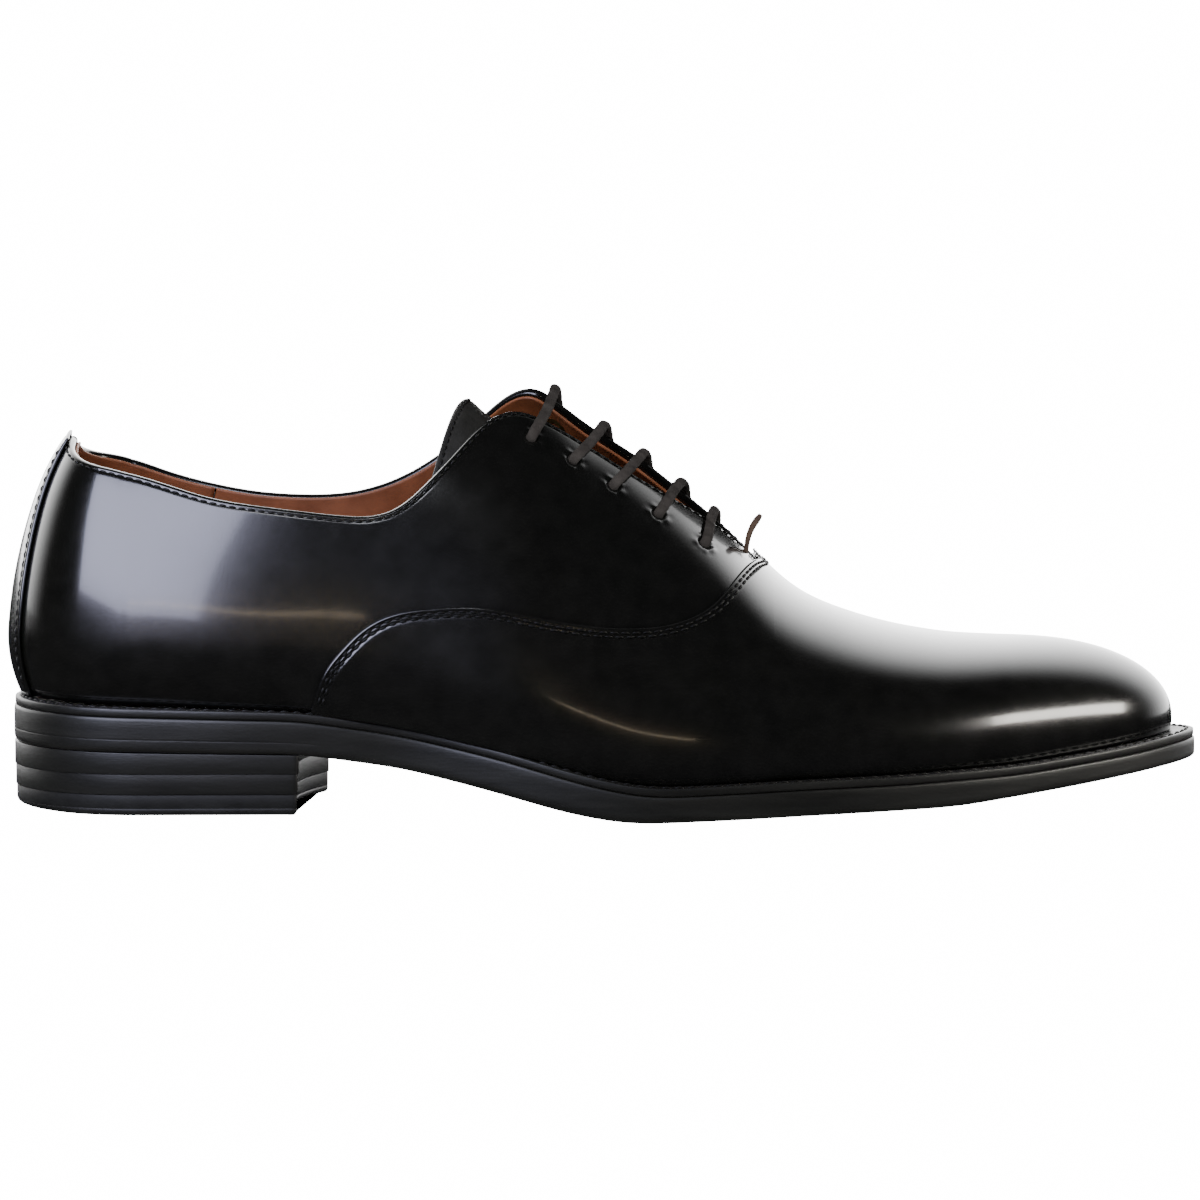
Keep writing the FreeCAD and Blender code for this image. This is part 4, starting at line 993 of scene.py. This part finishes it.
def half_loop(side, inset):
    """One side of the sole's plan outline, from the back pole to the toe pole."""
    swing = np.linspace(QUARTER_TURN, 0, 80)[:-1]
    back_x = HEEL_AXIS - (HEEL_AXIS - SOLE_HEEL - inset) * np.sin(swing)
    back_y = side * (SOLE_SIDE_REACH - inset) * np.cos(swing)
    x = np.concatenate([np.linspace(HEEL_AXIS, BALL, 160)[:-1],
                        BALL + (SOLE_TIP - BALL) * np.sin(np.linspace(0, QUARTER_TURN, 160))])
    ball_half = sole_half(BALL) * toe_taper(x, SOLE_TIP)
    half = np.where(x <= BALL, sole_half(np.minimum(x, BALL)), ball_half)
    edge = moved_in(np.stack([x, plan_middle(x) + side * half], 1), side, inset)
    edge[-1] = SOLE_TIP - inset, plan_middle(SOLE_TIP)
    return respaced(np.concatenate([np.stack([back_x, back_y], 1), edge]), RING_COUNT // 2 + 1)


def sole_loop(inset):
    """Closed plan outline of the sole, moved in by inset: back, lateral, toe, medial."""
    halves = [half_loop(side, inset) for side in (LATERAL, MEDIAL)]
    return np.concatenate([halves[0], halves[1][-2:0:-1]])


def feather_loop(inset):
    """Closed plan outline of the room inside the upper at its feather edge."""
    u = np.linspace(-HEEL_GIRTH, FRONT_U, 300)
    halves = []
    for side in (LATERAL, MEDIAL):
        points = surface(broad(side, u), u, np.zeros_like(u))[:, :2]
        halves.append(respaced(moved_in(points, side, inset), 201))
    halves[1][0] = halves[0][0]
    halves[1][-1] = halves[0][-1]
    return np.concatenate([halves[0], halves[1][-2:0:-1]])


def raised(loop, height):
    """A plan loop lifted to a height, which may be a function of x."""
    z = height(loop[:, 0]) if callable(height) else np.full(len(loop), height)
    return np.concatenate([loop, z[:, None]], 1)


def on_welt(loop, level):
    """A plan loop at a level over the welt's top."""
    return raised(loop, lambda x: welt_top(x) + level)


def span(soup, loop, columns=15):
    """A sheet stretched across a loop whose two halves face one another."""
    half = len(loop) // 2
    lateral = loop[:half + 1]
    medial = np.concatenate([loop[:1], loop[:half - 1:-1]])
    share = np.linspace(0, 1, columns)[None, :, None]
    soup.grid(lateral[:, None] * (1 - share) + medial[:, None] * share)


def layered(name, material, rows):
    """A closed slab from rings of points, spanned at its lowest and highest ring."""
    soup = Soup()
    soup.grid(np.stack(rows), closed=True)
    span(soup, rows[0])
    span(soup, rows[-1])
    return soup.piece(name, material)


def make_outsole():
    top = WELT_GAUGE + 0.1
    profile = [(0.9, 0.0), (0.4, 0.035), (0.12, 0.09), (0.0, 0.18), (0.0, 0.325), (0.01, 0.352),
               (0.06, 0.366), (0.01, 0.380), (0.0, 0.41), (0.0, 0.7), (0.03, 0.9), (0.15, 0.97), (0.4, 1.0)]
    outer = sole_loop(0.0)
    at_heel = np.clip((SCORE_END - outer[:, 0]) / SCORE_FADE, 0, 1)[:, None]
    low = sole_bottom(outer[:, 0])
    high = welt_top(outer[:, 0]) - top
    rows = []
    for inset, share in profile:
        loop = sole_loop(inset)
        if SCORE_FROM < share < SCORE_TO:
            loop = loop * at_heel + outer * (1 - at_heel)
        rows.append(np.concatenate([loop, (low + (high - low) * share)[:, None]], 1))
    done(layered("outsole", edge_leather, rows), "shoe", "outsole")


def make_welt():
    soup = Soup()
    profile = [(WELT_BAND, -WELT_GAUGE), (0.75, -WELT_GAUGE), (0.42, -2.05), (0.3, -1.7), (0.3, -0.5),
               (0.42, -0.16), (0.75, 0.0), (1.3, 0.0), (1.6, -0.06), (WELT_STITCH_INSET, -0.2),
               (2.4, -0.06), (2.7, 0.0), (WELT_BAND, 0.0), (WELT_BAND, -WELT_GAUGE)]
    soup.grid(np.stack([on_welt(sole_loop(inset), level) for inset, level in profile]), closed=True)
    done(soup.piece("welt", edge_leather), "shoe", "welt")


def make_welt_stitching():
    soup = Soup()
    line = raised(sole_loop(WELT_STITCH_INSET), welt_top)
    line = np.concatenate([line, line[:2]])
    reach = run_length(line)
    share = np.linspace(0, 1, STITCH_RINGS)
    starts = np.arange(0, reach[-1] - 3.2, WELT_STITCH_PITCH)[:, None]
    wanted = starts + WELT_STITCH_LENGTH * share
    centres = np.stack([np.interp(wanted, reach, line[:, axis]) for axis in range(3)], -1)
    centres[..., 2] += 0.4 * np.sin(math.pi * share) - 0.28
    girth = 0.42 * (0.5 + 0.5 * np.sin(math.pi * share) ** 0.6)
    soup.tubes(centres, np.broadcast_to(UPRIGHT, centres.shape), girth, girth * 0.85)
    done(soup.piece("welt_stitching", thread_black), "shoe")


def heel_outline(taper):
    """Closed plan outline of the heel: round back, hollow breast, clipped medial corner."""
    radius = HEEL_RADIUS - taper
    flank = radius - 1.2
    lateral_front = np.array([38.9 - taper, -flank])
    notch = np.array([45.5 - taper, flank - 7.5])
    medial_front = np.array([39.4 - taper, flank])
    turn = np.linspace(QUARTER_TURN, -QUARTER_TURN, 120)
    back = np.stack([HEEL_CENTRE - radius * np.cos(turn), radius * np.sin(turn)], 1)
    share = np.linspace(0, 1, 60)[:, None]
    breast = lateral_front * (1 - share) + notch * share
    breast[:, 0] -= 4 * BREAST_HOLLOW * (share * (1 - share))[:, 0]
    loop = respaced(np.concatenate([back, breast, medial_front[None], back[:1]]), 521)[:-1]
    kernel = np.exp(-0.5 * (np.arange(-6, 7) / 1.6) ** 2)
    padded = np.concatenate([loop[-6:], loop, loop[:6]])
    smooth = [np.convolve(padded[:, axis], kernel / kernel.sum(), "valid") for axis in (0, 1)]
    return np.stack(smooth, 1)


def heel_ring(taper, inset, height, back_round=0.0):
    """A ring of the heel, moved in along its normals; back_round pulls the back in more."""
    loop = heel_outline(taper)
    tangent = unit(np.roll(loop, -1, 0) - np.roll(loop, 1, 0))
    inward = np.stack([-tangent[:, 1], tangent[:, 0]], 1)
    at_back = np.clip((-18 - loop[:, 0]) / 14, 0, 1)
    moved = loop + inward * (inset + back_round * at_back)[:, None]
    return raised(moved, height)


def make_heel_layer(name, material, taper, low, high, rows=()):
    """One heel layer with eased edges; rows replace its foot as (inset, height, back rounding)."""
    soft = 0.06
    profile = rows or [(soft, low, 0.0), (0.03, low + soft, 0.0), (0.0, low + 2.5 * soft, 0.0)]
    rings = [heel_ring(taper, inset, height, back) for inset, height, back in profile]
    for inset, drop in ((0.0, 2.5 * soft), (0.03, soft), (soft, 0.0)):
        ring = heel_ring(taper, inset, high)
        ring[:, 2] -= drop
        rings.append(ring)
    soup = Soup()
    soup.grid(np.stack(rings), closed=True)
    soup.cap(rings[0])
    soup.cap(rings[-1])
    done(soup.piece(name, material), "shoe", name)


def seat_height(x):
    """Slanting top of the heel, just under the outsole."""
    return 16.75 - 1.34 * (x + 45) / 84


def make_heel():
    tread = [(2.2, 0.0, 2.4), (1.0, 0.05, 2.0), (0.5, 0.25, 1.35), (0.2, 0.6, 0.8), (0.02, 1.1, 0.35),
             (0.0, 1.66, 0.1), (0.08, 1.78, 0.05), (0.08, 1.84, 0.0), (0.0, 1.96, 0.0)]
    make_heel_layer("top_piece", heel_rubber, 0.6, 0.0, 5.38, tread)
    make_heel_layer("heel_lift_lower", edge_leather, 0.35, 5.4, 10.68)
    make_heel_layer("heel_lift_upper", edge_leather, 0.1, 10.7, seat_height)


def make_insole():
    rows = [on_welt(feather_loop(INSOLE_INSET + inset), level)
            for inset, level in ((0.3, 0.4), (0.0, 0.6), (0.0, 2.6), (0.3, 2.85))]
    done(layered("insole", raw_leather, rows), "shoe", "insole")


def make_heel_sock():
    """Tan cover over the heel part of the insole, with a bowed front edge."""
    rows = []
    for inset, level in ((0.25, 2.95), (0.0, 3.1), (0.05, 3.6), (0.35, 3.8)):
        loop = feather_loop(SOCK_INSET + inset)
        half = len(loop) // 2
        keep = int(np.argmax(loop[:half, 0] > SOCK_END - inset))
        lateral = loop[:keep]
        medial = np.concatenate([loop[:1], loop[:half - 1:-1]])[:keep]
        share = np.linspace(0, 1, 22)[1:-1, None]
        front = lateral[-1] * (1 - share) + medial[-1] * share
        front[:, 0] += 5.0 * (4 * share * (1 - share))[:, 0]
        rows.append(on_welt(np.concatenate([lateral, front, medial[:0:-1]]), level))
    count = min(len(row) for row in rows)
    rows = [row[np.linspace(0, len(row) - 1, count).round().astype(int)] for row in rows]
    soup = Soup()
    soup.grid(np.stack(rows), closed=True)
    soup.cap(rows[0])
    soup.cap(rows[-1])
    done(soup.piece("heel_sock", lining_leather), "shoe", "heel_sock")


def finish_hidden_nodes():
    """CAD nodes whose own shape is kept get a proper finish."""
    finishes = {"cork_filler": cork, "shank": steel, "heel_nails": steel, "blind_eyelets": brass}
    for node, material in finishes.items():
        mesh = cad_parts[node].data
        mesh.materials.clear()
        mesh.materials.append(material)


# ------------------------------------------------------------------------------ assembly

make_vamp()
for name, side in (("lateral", LATERAL), ("medial", MEDIAL)):
    make_quarter("quarter_" + name, side)
    make_quarter_lining("quarter_lining_" + name, side)
    make_facing_stay("facing_stay_" + name, side)
make_heel_lining()
make_heel_counter()
make_topline_tape()
make_toe_layers()
make_back_strip()
make_tongue_ply("tongue", tongue_leather, TONGUE_OUT, TONGUE_OUT - 1.0,
                (TONGUE_STITCH,))
make_tongue_ply("tongue_lining", lining_leather, TONGUE_OUT - 1.05, TONGUE_OUT - 1.85, ())
make_upper_stitching()
make_tongue_stitching()
make_bartack()
make_lace()
make_lace_end()
make_outsole()
make_welt()
make_welt_stitching()
make_heel()
make_insole()
make_heel_sock()
finish_hidden_nodes()

# ------------------------------------------------------------------------ floor and view

FLOOR_SIZE = 24
FLOOR_DROP = 0.0004
FLOOR_GLOW = 0.93
FLOOR_IN_POLISH = (0.02, 0.02, 0.022, 1)
WHITE = (1, 1, 1, 1)
BACKGROUND = 16.0
# Brightness of the surroundings against how far they lie behind the shoe.
WORLD_TURN = {"From Min": 0.1, "From Max": 0.95, "To Min": 0.01, "To Max": 6.5}
WORLD_FILL = 0.4


def for_ray(nodes, links, kind, usual, special):
    """A shader that is usual to most rays and special to one kind."""
    mix = nodes.new("ShaderNodeMixShader")
    links.new(nodes.new("ShaderNodeLightPath").outputs[kind], mix.inputs["Fac"])
    links.new(usual, mix.inputs[1])
    links.new(special, mix.inputs[2])
    return mix.outputs["Shader"]


def glow(nodes, strength, kind="ShaderNodeEmission", colour=WHITE):
    """A shader that gives light; a background when kind says so."""
    shader = nodes.new(kind)
    shader.inputs["Color"].default_value = colour
    shader.inputs["Strength"].default_value = strength
    return shader


def make_floor():
    """Pale floor, white to the eye and dim to polished leather."""
    bpy.ops.mesh.primitive_plane_add(size=FLOOR_SIZE, location=(0, 0, -FLOOR_DROP))
    floor = bpy.context.object
    floor.name = "floor"
    material, nodes, links, shader = node_material("pale_floor")
    shader.inputs["Base Color"].default_value = (0.5, 0.5, 0.5, 1)
    shader.inputs["Roughness"].default_value = 1.0
    shader.inputs["Specular IOR Level"].default_value = 0.0
    shader.inputs["Emission Color"].default_value = WHITE
    shader.inputs["Emission Strength"].default_value = FLOOR_GLOW
    dim = glow(nodes, 1.0, colour=FLOOR_IN_POLISH).outputs["Emission"]
    white = glow(nodes, BACKGROUND).outputs["Emission"]
    lit = for_ray(nodes, links, "Is Glossy Ray", shader.outputs["BSDF"], dim)
    seen = for_ray(nodes, links, "Is Camera Ray", lit, white)
    links.new(seen, nodes["Material Output"].inputs["Surface"])
    floor.data.materials.append(material)


def make_world():
    """White studio, bright behind and above the shoe and dark on the camera's side."""
    world = bpy.data.worlds.new("studio")
    bpy.context.scene.world = world
    world.use_nodes = True
    nodes = world.node_tree.nodes
    links = world.node_tree.links
    coordinates = nodes.new("ShaderNodeTexCoord")
    parts = nodes.new("ShaderNodeSeparateXYZ")
    links.new(coordinates.outputs["Generated"], parts.inputs["Vector"])
    behind = nodes.new("ShaderNodeMapRange")
    behind.interpolation_type = "SMOOTHSTEP"
    for name, value in WORLD_TURN.items():
        behind.inputs[name].default_value = value
    links.new(parts.outputs["Y"], behind.inputs["Value"])
    fill, polish, white = [glow(nodes, strength, "ShaderNodeBackground")
                           for strength in (WORLD_FILL, 1.0, BACKGROUND)]
    links.new(behind.outputs["Result"], polish.inputs["Strength"])
    lit = for_ray(nodes, links, "Is Glossy Ray", fill.outputs["Background"], polish.outputs["Background"])
    seen = for_ray(nodes, links, "Is Camera Ray", lit, white.outputs["Background"])
    links.new(seen, nodes["World Output"].inputs["Surface"])


def area_light(name, location, target, width, height, watts, colour=(1, 1, 1), tilt=0.0, fill=False):
    """A soft rectangular light that the camera doesn't see. Places are in metres; tilt
    turns the rectangle in its own plane. A fill light shows in matt surfaces only, and
    any other light only as a reflection in the polished ones."""
    toward = Vector(target) - Vector(location)
    data = bpy.data.lights.new(name, "AREA")
    data.shape = "RECTANGLE"
    data.size = width
    data.size_y = height
    data.energy = watts
    data.color = colour
    light = bpy.data.objects.new(name, data)
    light.location = location
    light.rotation_euler = toward.to_track_quat("-Z", "Y").to_euler()
    light.rotation_euler.rotate_axis("Z", math.radians(tilt))
    light.visible_camera = False
    light.visible_glossy = not fill
    light.visible_diffuse = fill
    bpy.context.scene.collection.objects.link(light)


def make_flag():
    """A black card behind the lacing, seen only in reflections."""
    outline = [(0.03, 0.12), (0.10, 0.108), (0.13, 0.09), (0.15, 0.08), (0.172, 0.079), (0.19, 0.095),
               (0.203, 0.125), (0.212, 0.17), (0.212, 0.36), (0.02, 0.36)]
    card_y = 0.066
    mesh = bpy.data.meshes.new("flag")
    mesh.from_pydata([(x, card_y, z) for x, z in outline], [], [tuple(range(len(outline)))])
    flag = bpy.data.objects.new("flag", mesh)
    material, _, _, shader = node_material("black_card")
    shader.inputs["Base Color"].default_value = (0.01, 0.01, 0.01, 1)
    shader.inputs["Roughness"].default_value = 1.0
    mesh.materials.append(material)
    flag.visible_camera = False
    flag.visible_diffuse = False
    flag.visible_shadow = False
    bpy.context.scene.collection.objects.link(flag)


def make_lights():
    """Small soft boxes close to the shoe, each mirrored in one part of the leather, and a
    broad fill for the matt surfaces."""
    area_light("heel_box", (-0.048, -0.12, 0.106), (-0.012, 0.0, 0.068), 0.13, 0.1, 0.46,
               (0.74, 0.76, 1.0), tilt=-8)
    area_light("toe_box", (0.425, -0.115, 0.125), (0.25, -0.03, 0.035), 0.2, 0.055, 0.9,
               (1.0, 0.96, 0.88), tilt=-14)
    area_light("low_strip", (0.03, -0.5, 0.07), (0.05, 0.0, 0.045), 0.13, 0.002, 0.02, (1.0, 0.82, 0.55))
    area_light("facing_spot", (0.03, -0.16, 0.19), (0.076, -0.03, 0.086), 0.02, 0.02, 0.02, (0.9, 0.92, 1.0))
    area_light("fill", (-0.5, -1.3, 1.5), (0.1, 0.0, 0.05), 1.2, 1.2, 22, fill=True)


def make_camera():
    """A long lens from the lateral side, a little above the floor."""
    target = Vector((0.1155, 0.0, 0.0524))
    lift = math.radians(5.3)
    distance = 2.6
    frame_width = 0.3096
    data = bpy.data.cameras.new("camera")
    data.lens = data.sensor_width * distance / frame_width
    camera = bpy.data.objects.new("camera", data)
    camera.location = target + Vector((0, -math.cos(lift), math.sin(lift))) * distance
    camera.rotation_euler = (target - camera.location).to_track_quat("-Z", "Y").to_euler()
    bpy.context.scene.collection.objects.link(camera)
    bpy.context.scene.camera = camera


make_floor()
make_world()
make_flag()
make_lights()
make_camera()
